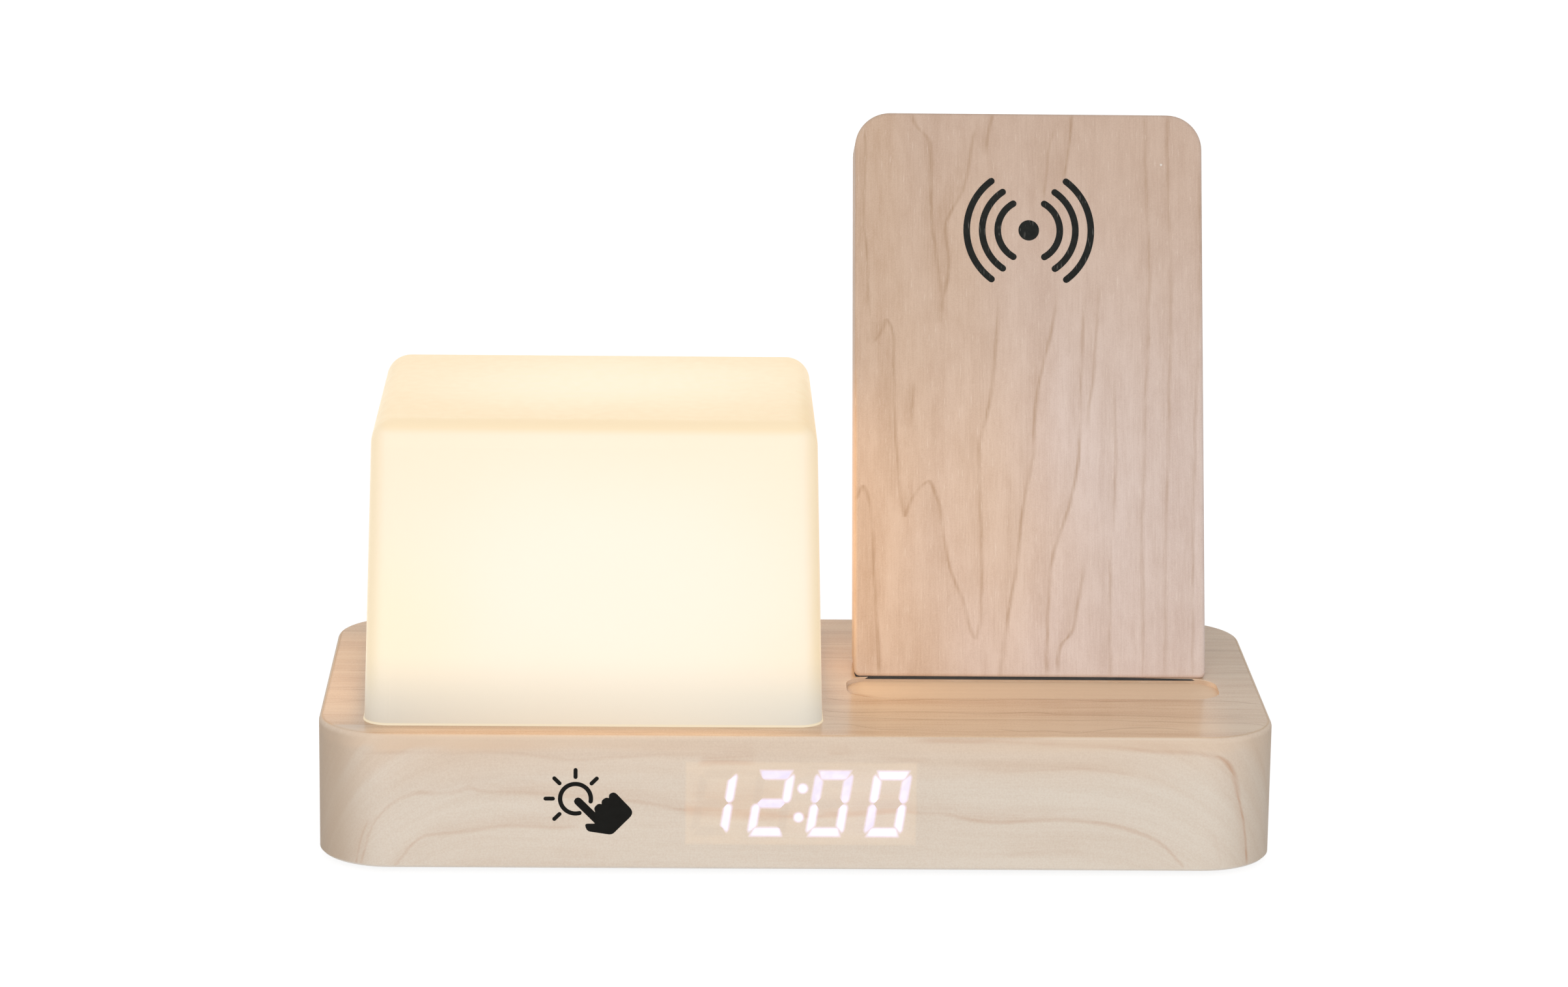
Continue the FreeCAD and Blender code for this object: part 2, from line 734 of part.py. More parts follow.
def base_shell():
    body = new_body("base_shell", z=block_floor)
    outline = new_sketch(body, "outline")
    draw_rounded_rectangle(outline, size["base_length"], size["base_depth"], size["base_corner"])
    pad(body, "block", outline, size["base_height"])
    round_edges(body, "top_edge", size["base_edge"], edge_at_level(size["base_height"].value))
    round_edges(body, "foot_edge", size["base_foot_edge"], edge_at_level(0.0), kind="Chamfer")

    hollow = new_sketch(body, "hollow")
    inner_length = size["base_length"] - 2 * size["base_wall"]
    inner_depth = size["base_depth"] - 2 * size["base_wall"]
    draw_rounded_rectangle(hollow, inner_length, inner_depth, size["cavity_corner"])
    inner_height = size["base_height"] - size["base_roof"]
    pocket(body, "milled_hollow", hollow, inner_height, reversed_way=True)
    rebate = new_sketch(body, "rebate")
    seat_length = size["base_length"] - 2 * size["rim_width"]
    seat_depth = size["base_depth"] - 2 * size["rim_width"]
    seat_corner = size["base_corner"] - size["rim_width"]
    draw_rounded_rectangle(rebate, seat_length, seat_depth, seat_corner)
    pocket(body, "cover_rebate", rebate, size["cover_thickness"], reversed_way=True)
    pilot = new_sketch(
        body, "pilot", "XY", size["cover_thickness"], -corner_screw_x * HALF, -corner_screw_y * HALF
    )
    draw_circle(pilot, wood_pilot)
    drilled = pocket(body, "first_pilot", pilot, size["wood_screw_length"], reversed_way=True)
    repeat(body, "pilots", drilled, ("X", corner_screw_x, 2), ("Y", corner_screw_y, 2))

    groove = new_sketch(
        body, "groove", "XY", size["base_height"], stand_x, groove_middle
    )
    draw_rounded_rectangle(
        groove, groove_length, size["groove_width"], size["groove_corner"]
    )
    pocket(body, "phone_groove", groove, size["groove_depth"])

    through_wall = size["base_wall"] + size["cut_past"]
    window = new_sketch(
        body, "window", "XZ", -front_face, window_x, size["window_rise"]
    )
    draw_rectangle(window, size["window_width"], size["window_height"])
    pocket(body, "window_opening", window, through_wall)
    display_pilot = new_sketch(
        body,
        "display_pilot",
        "XZ",
        -front_inside,
        window_x - display_spacing * HALF,
        size["window_rise"],
    )
    draw_circle(display_pilot, board_pilot)
    bitten = size["board_screw_length"] - size["board_thickness"] + size["pilot_past"]
    drilled = pocket(body, "first_display_pilot", display_pilot, bitten, reversed_way=True)
    repeat(body, "display_pilots", drilled, ("X", display_spacing, 2))
    touch = new_sketch(body, "touch", "XZ", -front_inside, touch_x, size["touch_rise"])
    draw_circle(touch, size["touch_diameter"] + 2 * size["seat_gap"])
    touch_depth = size["base_wall"] - size["touch_skin"]
    pocket(body, "touch_recess", touch, touch_depth, reversed_way=True)

    panel = new_sketch(body, "panel", "XZ", -back_face, ZERO, size["panel_rise"])
    draw_rounded_rectangle(
        panel,
        size["panel_length"] + 2 * size["seat_gap"],
        size["panel_height"] + 2 * size["seat_gap"],
        size["panel_corner"] + size["seat_gap"],
    )
    pocket(body, "panel_recess", panel, size["panel_thickness"], reversed_way=True)
    slot = new_sketch(body, "slot", "XZ", -back_face, ZERO, size["panel_rise"])
    draw_rounded_rectangle(
        slot, rear_slot_length, rear_slot_height, size["panel_corner"]
    )
    pocket(body, "rear_slot", slot, through_wall, reversed_way=True)
    panel_pilot = new_sketch(
        body,
        "panel_pilot",
        "XZ",
        -panel_inside,
        -panel_spacing * HALF,
        size["panel_rise"],
    )
    draw_circle(panel_pilot, board_pilot)
    panel_bite = size["panel_screw_length"] - panel_under_head + size["pilot_past"]
    drilled = pocket(body, "first_panel_pilot", panel_pilot, panel_bite, reversed_way=True)
    repeat(body, "panel_pilots", drilled, ("X", panel_spacing, 2))
    rear_pilot = new_sketch(
        body,
        "rear_pilot",
        "XZ",
        -back_inside,
        -rear_board_spacing * HALF,
        size["panel_rise"],
    )
    draw_circle(rear_pilot, board_pilot)
    drilled = pocket(body, "first_rear_pilot", rear_pilot, bitten)
    repeat(body, "rear_pilots", drilled, ("X", rear_board_spacing, 2))

    through_roof = size["base_roof"] + size["cut_past"]
    lamp_hole = new_sketch(
        body,
        "lamp_hole",
        "XY",
        size["base_height"],
        lamp_x - lamp_spacing_x * HALF,
        lamp_y - lamp_spacing_y * HALF,
    )
    draw_circle(lamp_hole, size["wood_screw"] + size["screw_play"])
    drilled = pocket(body, "first_lamp_hole", lamp_hole, through_roof)
    repeat(body, "lamp_holes", drilled, ("X", lamp_spacing_x, 2), ("Y", lamp_spacing_y, 2))
    stand_hole = new_sketch(
        body,
        "stand_hole",
        "XY",
        size["base_height"],
        stand_x - stand_screw_spacing * HALF,
        stand_screw_y,
    )
    draw_circle(stand_hole, size["stand_screw"] + size["screw_play"])
    drilled = pocket(body, "first_stand_hole", stand_hole, through_roof)
    repeat(body, "stand_holes", drilled, ("X", stand_screw_spacing, 2))
    for name, x, y, diameter in (
        ("lamp_lead_hole", lamp_lead_x, lamp_y, lamp_lead_hole),
        ("coil_lead_hole", stand_x, coil_lead_y, coil_lead_hole),
    ):
        passage = new_sketch(body, name, "XY", size["base_height"], x, y)
        draw_circle(passage, diameter)
        pocket(body, f"{name}_drilled", passage, through_roof)


# Bottom cover, its feet and what stands on it

VENT_ROUND = sized(0.45)
VENT_COUNT = 5
SOUND_COUNT = 6


def bottom_cover():
    body = new_body("bottom_cover", z=block_floor)
    let_in = size["rim_width"] + size["seat_gap"]
    outline = new_sketch(body, "outline")
    draw_rounded_rectangle(
        outline,
        size["base_length"] - 2 * let_in,
        size["base_depth"] - 2 * let_in,
        size["base_corner"] - let_in,
    )
    pad(body, "plate", outline, size["cover_thickness"])
    tubes(
        body,
        "standoff",
        size["cover_thickness"],
        main_board_x - main_spacing_x * HALF,
        main_board_y - main_spacing_y * HALF,
        size["standoff_diameter"],
        board_pilot,
        size["standoff_rise"],
        ("X", main_spacing_x, 2),
        ("Y", main_spacing_y, 2),
    )
    bore = size["buzzer_diameter"] + 2 * size["seat_gap"]
    tubes(
        body,
        "buzzer_seat",
        size["cover_thickness"],
        buzzer_x,
        -size["buzzer_front"],
        bore + 2 * size["buzzer_ring"],
        bore,
        size["buzzer_ring_rise"],
    )
    corner = new_sketch(
        body, "corner_hole", "XY", ZERO, -corner_screw_x * HALF, -corner_screw_y * HALF
    )
    draw_circle(corner, size["wood_screw"])
    seat = screw_holes(body, "corner_seat", corner, "wood_screw", cover_head_seat, True)
    repeat(body, "corner_seats", seat, ("X", corner_screw_x, 2), ("Y", corner_screw_y, 2))
    recess = new_sketch(
        body, "foot_recess", "XY", ZERO, -foot_spacing_x * HALF, -foot_spacing_y * HALF
    )
    draw_circle(recess, size["foot_diameter"] + 2 * size["seat_gap"])
    sunk = pocket(body, "first_foot_recess", recess, size["foot_sink"], reversed_way=True)
    repeat(body, "foot_recesses", sunk, ("X", foot_spacing_x, 2), ("Y", foot_spacing_y, 2))
    vent = new_sketch(body, "vent", "XY", ZERO, first_vent_x, ZERO)
    draw_rounded_rectangle(
        vent, size["vent_width"], size["vent_length"], size["vent_width"] * VENT_ROUND
    )
    slot = pocket(body, "first_vent", vent, size["cover_thickness"], reversed_way=True)
    repeat(body, "vents", slot, ("X", size["vent_pitch"], VENT_COUNT))
    middle = new_sketch(
        body, "sound_middle", "XY", ZERO, buzzer_x, -size["buzzer_front"]
    )
    draw_circle(middle, size["sound_hole"])
    pocket(body, "sound_middle_hole", middle, size["cover_thickness"], reversed_way=True)
    beside = new_sketch(
        body,
        "sound_beside",
        "XY",
        ZERO,
        buzzer_x + size["sound_ring"],
        -size["buzzer_front"],
    )
    draw_circle(beside, size["sound_hole"])
    first = pocket(body, "first_sound_hole", beside, size["cover_thickness"], reversed_way=True)
    before = volume(body)
    circle = body.newObject("PartDesign::PolarPattern", "bottom_cover_sound_ring")
    circle.Originals = [first]
    circle.Axis = (middle, ["N_Axis"])
    circle.Angle = 360.0
    circle.Occurrences = SOUND_COUNT
    body.Tip = circle
    must_change(body, before, "sound ring")


def feet():
    for side, x in (("left", -foot_spacing_x), ("right", foot_spacing_x)):
        for end, y in (("front", -foot_spacing_y), ("rear", foot_spacing_y)):
            body = new_body(f"foot_{end}_{side}", x * HALF, y * HALF)
            disc = new_sketch(body, "disc")
            draw_circle(disc, size["foot_diameter"])
            pad(body, "rubber", disc, size["foot_proud"] + size["foot_sink"])
            round_edges(body, "bevel", size["foot_bevel"], edge_at_level(0.0), kind="Chamfer")


def cover_screws():
    screw_set(
        "cover_screws",
        (ZERO, ZERO, block_floor + cover_head_seat),
        "wood_screw",
        size["wood_screw_length"],
        ("X", corner_screw_x, 2),
        ("Y", corner_screw_y, 2),
    )


def buzzer():
    body = new_body("buzzer", buzzer_x, -size["buzzer_front"], cover_top)
    disc = new_sketch(body, "disc")
    draw_circle(disc, size["buzzer_diameter"])
    pad(body, "can", disc, size["buzzer_thickness"])
    port = new_sketch(body, "port")
    draw_circle(port, size["sound_hole"] + size["sound_ring"])
    pocket(body, "sound_port", port, size["buzzer_ring"], reversed_way=True)
    top = size["buzzer_thickness"].value
    round_edges(body, "rim", size["foot_bevel"], edge_at_level(top))


# Display and touch pad

def display():
    window_at = (window_x, front_face, window_level)
    body = new_body("display_window", *window_at)
    pane = new_sketch(body, "pane", "XZ")
    width = size["window_width"] - 2 * size["glue_gap"]
    height = size["window_height"] - 2 * size["glue_gap"]
    draw_rectangle(pane, width, height)
    pad(body, "skin", pane, size["window_skin"], reversed_way=True)

    module_at = (window_x, front_face + size["window_skin"], window_level)
    body = new_body("display_module", *module_at)
    case = new_sketch(body, "case", "XZ")
    draw_rectangle(case, width, height)
    pad(body, "case_block", case, size["base_wall"] - size["window_skin"], reversed_way=True)

    board(
        "display_board",
        (window_x, front_inside, window_level),
        size["display_board_width"],
        size["window_height"],
        size["board_thickness"],
        display_spacing,
        plane="XZ",
    )
    screw_set(
        "display_screws",
        (window_x, front_inside + size["board_thickness"], window_level),
        "board_screw",
        size["board_screw_length"],
        ("X", display_spacing, 2),
        facing="Y",
        points_on=False,
    )
    body = new_body("display_ribbon")
    start = front_inside + size["board_thickness"]
    end = start + size["ribbon_reach"]
    spine = new_sketch(body, "spine", "YZ", window_x)
    draw_route(
        spine,
        ((start, window_level), (end, window_level), (end, main_board_top)),
        size["ribbon_bend"],
    )
    strip = new_sketch(body, "strip", "XZ", -start, window_x, window_level)
    draw_rectangle(strip, size["ribbon_width"], size["ribbon_thickness"])
    pipe(body, "ribbon", strip, spine)


def touch_pad():
    pad_back = front_face + size["touch_skin"] + size["touch_thickness"]
    body = new_body(
        "touch_electrode", touch_x, front_face + size["touch_skin"], touch_level
    )
    disc = new_sketch(body, "disc", "XZ")
    draw_circle(disc, size["touch_diameter"])
    pad(body, "plate", disc, size["touch_thickness"], reversed_way=True)

    body = new_body("touch_lead")
    landing = main_board_y - size["main_board_depth"] * HALF
    landing = landing + size["touch_lead_landing"]
    spine = new_sketch(body, "spine", "YZ", touch_x)
    draw_route(
        spine,
        ((pad_back, touch_level), (landing, touch_level), (landing, main_board_top)),
        size["touch_lead_bend"],
    )
    wire = new_sketch(body, "wire", "XZ", -pad_back, touch_x, touch_level)
    draw_circle(wire, size["touch_lead_diameter"])
    pipe(body, "lead", wire, spine)


# Main board and what is soldered to it

def main_board():
    board(
        "main_board",
        (main_board_x, main_board_y, main_board_floor),
        main_board_length,
        size["main_board_depth"],
        size["board_thickness"],
        main_spacing_x,
        main_spacing_y,
    )
    screw_set(
        "main_board_screws",
        (main_board_x, main_board_y, main_board_top),
        "board_screw",
        size["board_screw_length"],
        ("X", main_spacing_x, 2),
        ("Y", main_spacing_y, 2),
        points_on=False,
    )
    body = new_body(
        "clock_chip", main_board_x, main_board_y, main_board_top
    )
    case = new_sketch(body, "case")
    draw_rectangle(case, size["chip_width"], size["chip_width"])
    pad(body, "package", case, size["chip_thickness"])

    cell_at = (cell_x, cell_y, main_board_top)
    bore = size["cell_diameter"] + 2 * size["cell_play"]
    body = new_body("cell_holder", *cell_at)
    cup = new_sketch(body, "cup")
    draw_circle(cup, bore + 2 * size["cell_holder_wall"])
    pad(body, "cup_block", cup, size["cell_holder_floor"] + size["cell_thickness"])
    well = new_sketch(body, "well", "XY", size["cell_holder_floor"])
    draw_circle(well, bore)
    pocket(body, "cell_well", well, size["cell_thickness"], reversed_way=True)
    body = new_body("backup_cell", cell_at[0], cell_at[1], cell_at[2] + size["cell_holder_floor"])
    disc = new_sketch(body, "disc")
    draw_circle(disc, size["cell_diameter"])
    pad(body, "can", disc, size["cell_thickness"])
    top = size["cell_thickness"].value
    round_edges(body, "rim", size["foot_bevel"], edge_at_level(top))

    body = new_body("power_capacitors", capacitor_x, capacitor_y, main_board_top)
    can = new_sketch(body, "can")
    draw_circle(can, size["capacitor_diameter"])
    first = pad(body, "first_can", can, size["capacitor_height"])
    repeat(body, "cans", first, ("X", size["capacitor_pitch"], 2))


# Rear panel, buttons and power socket

BUTTONS = ("set", "up", "down")
SOCKET_ROUND = sized(0.42)
switch_front = back_inside + size["switch_depth"]
flange_inside = switch_front + size["switch_clear"]
flange_outside = panel_inside - size["button_stop_gap"]


def rear_panel():
    body = new_body("rear_panel", ZERO, panel_inside, panel_level)
    outline = new_sketch(body, "outline", "XZ")
    draw_rounded_rectangle(
        outline, size["panel_length"], size["panel_height"], size["panel_corner"]
    )
    pad(body, "plate", outline, size["panel_thickness"], reversed_way=True)
    outer = size["panel_thickness"].value
    round_edges(body, "bevel", size["foot_bevel"], edge_at_level(outer, "y"), kind="Chamfer")
    bore = new_sketch(body, "bore", "XZ", ZERO, -size["button_left"])
    draw_circle(bore, size["button_diameter"] + 2 * size["button_play"])
    first = pocket(body, "first_bore", bore, size["panel_thickness"])
    repeat(body, "bores", first, ("X", size["button_pitch"], len(BUTTONS)))
    mouth = new_sketch(body, "mouth", "XZ", ZERO, size["socket_right"])
    gap = 2 * size["seat_gap"]
    draw_rounded_rectangle(
        mouth,
        size["socket_width"] + gap,
        size["socket_height"] + gap,
        (size["socket_height"] + gap) * SOCKET_ROUND,
    )
    pocket(body, "socket_mouth", mouth, size["panel_thickness"])
    corner = new_sketch(
        body,
        "screw_hole",
        "XZ",
        -size["panel_thickness"],
        -panel_spacing * HALF,
    )
    draw_circle(corner, size["board_screw"])
    seat = screw_holes(body, "screw_seat", corner, "board_screw", panel_head_seat, True)
    repeat(body, "screw_seats", seat, ("X", panel_spacing, 2))
    screw_set(
        "panel_screws",
        (ZERO, panel_inside + panel_under_head, panel_level),
        "board_screw",
        size["panel_screw_length"],
        ("X", panel_spacing, 2),
        facing="Y",
        points_on=False,
    )


def buttons():
    for i, name in enumerate(BUTTONS):
        x = size["button_pitch"] * i - size["button_left"]
        body = new_body(f"{name}_button", x, flange_inside, panel_level)
        flange = new_sketch(body, "flange", "XZ")
        draw_circle(flange, size["button_flange"])
        pad(body, "stop_flange", flange, flange_outside - flange_inside, reversed_way=True)
        shaft = new_sketch(body, "shaft", "XZ", flange_inside - flange_outside)
        draw_circle(shaft, size["button_diameter"])
        proud = back_face + size["button_proud"]
        pad(body, "plunger", shaft, proud - flange_outside, reversed_way=True)
        end = (proud - flange_inside).value
        round_edges(body, "dome", size["button_dome"], edge_at_level(end, "y"))

        body = new_body(f"{name}_switch_stem", x, switch_front - size["stem_sunk"], panel_level)
        stem = new_sketch(body, "stem", "XZ")
        draw_circle(stem, size["stem_diameter"])
        pad(body, "pin", stem, size["stem_sunk"] + size["switch_clear"], reversed_way=True)

        body = new_body(f"{name}_switch", x, back_inside, panel_level)
        case = new_sketch(body, "case", "XZ")
        draw_rectangle(case, size["switch_width"], size["switch_width"])
        pad(body, "case_block", case, size["switch_depth"], reversed_way=True)
        well = new_sketch(body, "well", "XZ", -size["switch_depth"])
        draw_circle(well, size["stem_diameter"] + 2 * size["button_play"])
        depth = size["stem_sunk"] + size["button_travel"] + size["stem_end_room"]
        pocket(body, "stem_well", well, depth, reversed_way=True)


def rear_board():
    board(
        "rear_board",
        (ZERO, back_inside - size["board_thickness"], panel_level),
        rear_board_length,
        size["rear_board_height"],
        size["board_thickness"],
        rear_board_spacing,
        plane="XZ",
    )
    screw_set(
        "rear_board_screws",
        (ZERO, back_inside - size["board_thickness"], panel_level),
        "board_screw",
        size["board_screw_length"],
        ("X", rear_board_spacing, 2),
        facing="Y",
    )


def power_socket():
    body = new_body("power_socket", size["socket_right"], back_inside, panel_level)
    length = size["base_wall"] - size["socket_sunk"]
    shell = new_sketch(body, "shell", "XZ")
    draw_rounded_rectangle(
        shell,
        size["socket_width"],
        size["socket_height"],
        size["socket_height"] * SOCKET_ROUND,
    )
    pad(body, "shell_block", shell, length, reversed_way=True)
    mouth = new_sketch(body, "mouth", "XZ", -length)
    inner_height = size["socket_height"] - 2 * size["socket_wall"]
    draw_rounded_rectangle(
        mouth,
        size["socket_width"] - 2 * size["socket_wall"],
        inner_height,
        inner_height * SOCKET_ROUND,
    )
    pocket(body, "mouth_well", mouth, size["socket_mouth_depth"], reversed_way=True)
    tongue = new_sketch(body, "tongue", "XZ", size["socket_mouth_depth"] - length)
    draw_rectangle(tongue, size["tongue_width"], size["tongue_thickness"])
    reach = size["socket_mouth_depth"] - size["tongue_back"]
    pad(body, "tongue_blade", tongue, reach, reversed_way=True)


# Night lamp

LED_COLUMNS = 5
LED_ROWS = 3


def lamp_shade():
    body = new_body("lamp_shade", lamp_x, lamp_y, block_top)
    outline = new_sketch(body, "outline")
    draw_rectangle(outline, lamp_width, size["lamp_depth"])
    narrowing = -size["lamp_draft"]
    pad(body, "block", outline, size["lamp_height"], taper=narrowing)
    hollow = new_sketch(body, "hollow")
    draw_rectangle(
        hollow,
        lamp_width - 2 * size["lamp_wall"],
        size["lamp_depth"] - 2 * size["lamp_wall"],
    )
    room = size["lamp_height"] - size["lamp_wall"]
    pocket(body, "drafted_hollow", hollow, room, reversed_way=True, taper=narrowing)
    inner = size["lamp_rounding"] - size["lamp_wall"]
    round_edges(body, "inner_rounding", inner, drafted_edge(size["lamp_wall"].value))
    round_edges(body, "outer_rounding", size["lamp_rounding"], drafted_edge(0.0))


def drafted_edge(inset):
    """A test for the slanting corners and top edges of the shade, outside or inset from it."""
    half_width = lamp_width.value / 2 - inset
    half_depth = size["lamp_depth"].value / 2 - inset
    shrink = math.tan(math.radians(size["lamp_draft"].value))

    def chosen(edge):
        points = [vertex.Point for vertex in edge.Vertexes]
        for point in points:
            across = half_width - point.z * shrink
            along = half_depth - point.z * shrink
            if abs(abs(point.x) - across) > 1e-3 or abs(abs(point.y) - along) > 1e-3:
                return False
        return max(point.z for point in points) > 1e-3

    return chosen


def lamp_tray():
    body = new_body("lamp_tray", lamp_x, lamp_y, block_top)
    inset = size["lamp_wall"] + size["tray_gap"]
    outer_width = lamp_width - 2 * inset
    outer_depth = size["lamp_depth"] - 2 * inset
    wall = size["tray_wall"]
    outline = new_sketch(body, "outline")
    draw_rounded_rectangle(outline, outer_width, outer_depth, size["tray_corner"])
    pad(body, "block", outline, size["tray_height"])
    well = new_sketch(body, "well", "XY", size["tray_floor"])
    draw_rounded_rectangle(
        well, outer_width - 2 * wall, outer_depth - 2 * wall, size["tray_corner"] - wall
    )
    pocket(
        body, "tray_well", well, size["tray_height"] - size["tray_floor"], reversed_way=True
    )
    first_x = -lamp_spacing_x * HALF
    first_y = -lamp_spacing_y * HALF
    boss = new_sketch(body, "boss", "XY", size["tray_floor"], first_x, first_y)
    draw_circle(boss, size["tray_boss_diameter"])
    post = pad(body, "first_boss", boss, size["tray_height"] - size["tray_floor"])
    repeat(body, "bosses", post, ("X", lamp_spacing_x, 2), ("Y", lamp_spacing_y, 2))
    pilot = new_sketch(body, "pilot", "XY", ZERO, first_x, first_y)
    draw_circle(pilot, wood_pilot)
    bite = size["wood_screw_length"] - size["base_roof"] + size["pilot_past"]
    drilled = pocket(body, "first_pilot", pilot, bite, reversed_way=True)
    repeat(body, "pilots", drilled, ("X", lamp_spacing_x, 2), ("Y", lamp_spacing_y, 2))
    tubes(
        body,
        "board_post",
        size["tray_floor"],
        -lamp_board_spacing_x * HALF,
        -lamp_board_spacing_y * HALF,
        size["standoff_diameter"],
        board_pilot,
        size["lamp_board_rise"] - size["tray_floor"],
        ("X", lamp_board_spacing_x, 2),
        ("Y", lamp_board_spacing_y, 2),
    )
    lead = new_sketch(body, "lead", "XY", ZERO, lamp_lead_x - lamp_x)
    draw_circle(lead, lamp_lead_hole)
    pocket(body, "lead_hole", lead, size["tray_floor"], reversed_way=True)


def lamp_inside():
    lamp_at = (lamp_x, lamp_y)
    screw_set(
        "lamp_screws",
        (*lamp_at, cavity_roof),
        "wood_screw",
        size["wood_screw_length"],
        ("X", lamp_spacing_x, 2),
        ("Y", lamp_spacing_y, 2),
    )
    board_floor = block_top + size["lamp_board_rise"]
    board_top = board_floor + size["board_thickness"]
    board(
        "lamp_board",
        (*lamp_at, board_floor),
        lamp_board_length,
        size["lamp_board_depth"],
        size["board_thickness"],
        lamp_board_spacing_x,
        lamp_board_spacing_y,
    )
    screw_set(
        "lamp_board_screws",
        (*lamp_at, board_top),
        "board_screw",
        size["board_screw_length"],
        ("X", lamp_board_spacing_x, 2),
        ("Y", lamp_board_spacing_y, 2),
        points_on=False,
    )
    body = new_body("lamp_leds", *lamp_at, board_top)
    span_x = lamp_board_length - 2 * size["led_inset_x"]
    span_y = size["lamp_board_depth"] - 2 * size["led_inset_y"]
    package = new_sketch(body, "package", "XY", ZERO, -span_x * HALF, -span_y * HALF)
    draw_rectangle(package, size["led_length"], size["led_width"])
    first = pad(body, "first_led", package, size["led_thickness"])
    repeat(
        body,
        "leds",
        first,
        ("X", span_x / (LED_COLUMNS - 1), LED_COLUMNS),
        ("Y", span_y / (LED_ROWS - 1), LED_ROWS),
    )
    body = new_body("lamp_lead", y=lamp_y)
    level = block_floor + size["lamp_lead_level"]
    start_x = lamp_lead_x + size["lamp_lead_shift"]
    spine = new_sketch(body, "spine", "XZ")
    draw_route(
        spine,
        ((start_x, main_board_top), (start_x, level), (lamp_lead_x, level), (lamp_lead_x, board_floor)),
        size["lamp_lead_bend"],
    )
    wire = new_sketch(body, "wire", "XY", main_board_top, start_x)
    draw_circle(wire, size["lamp_lead_diameter"])
    pipe(body, "lead", wire, spine)


# Leaning charging stand

lean = size["stand_lean"]
stand_pocket = size["stand_width"] - 2 * size["stand_pocket_inset"]
stand_cover_width = stand_pocket + 2 * size["stand_cover_rim"]
carrier_width = stand_pocket - 2 * size["carrier_gap"]
pocket_back = size["stand_thickness"] - size["stand_cover_thickness"]
carrier_front = size["stand_skin"] + size["coil_thickness"] + size["ferrite_thickness"]
charger_front = carrier_front + size["carrier_thickness"] + size["carrier_post_rise"]
charger_back = charger_front + size["charger_board_thickness"]
carrier_spacing_x = carrier_width - 2 * size["carrier_post_inset"]
carrier_spacing_y = size["carrier_height"] - 2 * size["carrier_post_inset"]
cover_spacing = stand_cover_width - 2 * size["stand_cover_screw_inset"]
boss_diameter = size["coil_bore"] - 2 * size["carrier_boss_gap"]
pocket_foot = size["coil_rise"] - stand_pocket * HALF
cover_under_head = size["stand_cover_thickness"] - panel_head_seat


def on_stand(back=ZERO, up=ZERO):
    """The place of a point that lies back from the stand's face and up its slope."""
    y = back * cosine(lean) + up * sine(lean) - size["stand_front"]
    z = block_top - back * sine(lean) + up * cosine(lean)
    return stand_x, y, z


def stand_panel():
    body = new_body("stand_panel", *on_stand(), lean)
    side = new_sketch(body, "side", "YZ")
    thick = size["stand_thickness"]
    tall = size["stand_height"]
    draw_outline(side, ((ZERO, ZERO), (thick, thick * tangent(lean)), (thick, tall), (ZERO, tall)))
    pad(body, "board", side, size["stand_width"], midplane=True)
    half = size["stand_width"].value / 2
    top = tall.value

    def across_the_board(edge, upper):
        box = edge.BoundBox
        at_side = abs(abs(box.Center.x) - half) < 1e-3 and box.XLength < 1e-3
        at_top = abs(box.ZMin - top) < 1e-3
        at_foot = box.ZMax < thick.value * math.tan(math.radians(lean.value)) + 1e-3
        return at_side and (at_top if upper else at_foot)

    top_corner = size["stand_top_corner"]
    foot_corner = size["stand_foot_corner"]
    round_edges(body, "top_corners", top_corner, lambda edge: across_the_board(edge, True))
    round_edges(body, "foot_corners", foot_corner, lambda edge: across_the_board(edge, False))
    round_edges(body, "front_edge", size["stand_edge"], edge_at_level(0.0, "y"))
    round_edges(body, "back_edge", size["stand_edge"], edge_at_level(thick.value, "y"))

    seat = new_sketch(body, "seat", "XZ", -thick, ZERO, size["coil_rise"])
    seat_width = stand_cover_width + 2 * size["seat_gap"]
    seat_corner = size["stand_cover_corner"] + size["seat_gap"]
    draw_rounded_rectangle(seat, seat_width, seat_width, seat_corner)
    pocket(body, "cover_seat", seat, size["stand_cover_thickness"], reversed_way=True)
    well = new_sketch(body, "well", "XZ", -thick, ZERO, size["coil_rise"])
    draw_rounded_rectangle(
        well, stand_pocket, stand_pocket, size["stand_pocket_corner"]
    )
    pocket(body, "coil_well", well, thick - size["stand_skin"], reversed_way=True)
    pilot = new_sketch(
        body,
        "pilot",
        "XZ",
        -pocket_back,
        -cover_spacing * HALF,
        size["coil_rise"] - cover_spacing * HALF,
    )
    draw_circle(pilot, board_pilot)
    bite = size["board_screw_length"] - cover_under_head + size["pilot_past"]
    drilled = pocket(body, "first_pilot", pilot, bite, reversed_way=True)
    repeat(body, "pilots", drilled, ("X", cover_spacing, 2), ("Z", cover_spacing, 2))
    channel = new_sketch(body, "channel", "XY", ZERO, ZERO, size["coil_lead_inset"])
    draw_circle(channel, coil_lead_hole)
    pocket(body, "lead_channel", channel, pocket_foot + size["cut_past"], reversed_way=True)
    foot = new_sketch(
        body,
        "foot_screw",
        "XY",
        size["stand_screw_back"] * sine(lean),
        -stand_screw_spacing * HALF,
        size["stand_screw_back"] * cosine(lean),
        tilt=lean,
    )
    draw_circle(foot, size["stand_screw"] + size["thread_play"])
    bite = size["stand_screw_length"] - size["base_roof"] + size["pilot_past"]
    drilled = pocket(body, "first_foot_pilot", foot, bite, reversed_way=True)
    repeat(body, "foot_pilots", drilled, ("X", stand_screw_spacing, 2))


def stand_screws():
    screw_set(
        "stand_screws",
        (stand_x, stand_screw_y, cavity_roof),
        "stand_screw",
        size["stand_screw_length"],
        ("X", stand_screw_spacing, 2),
    )


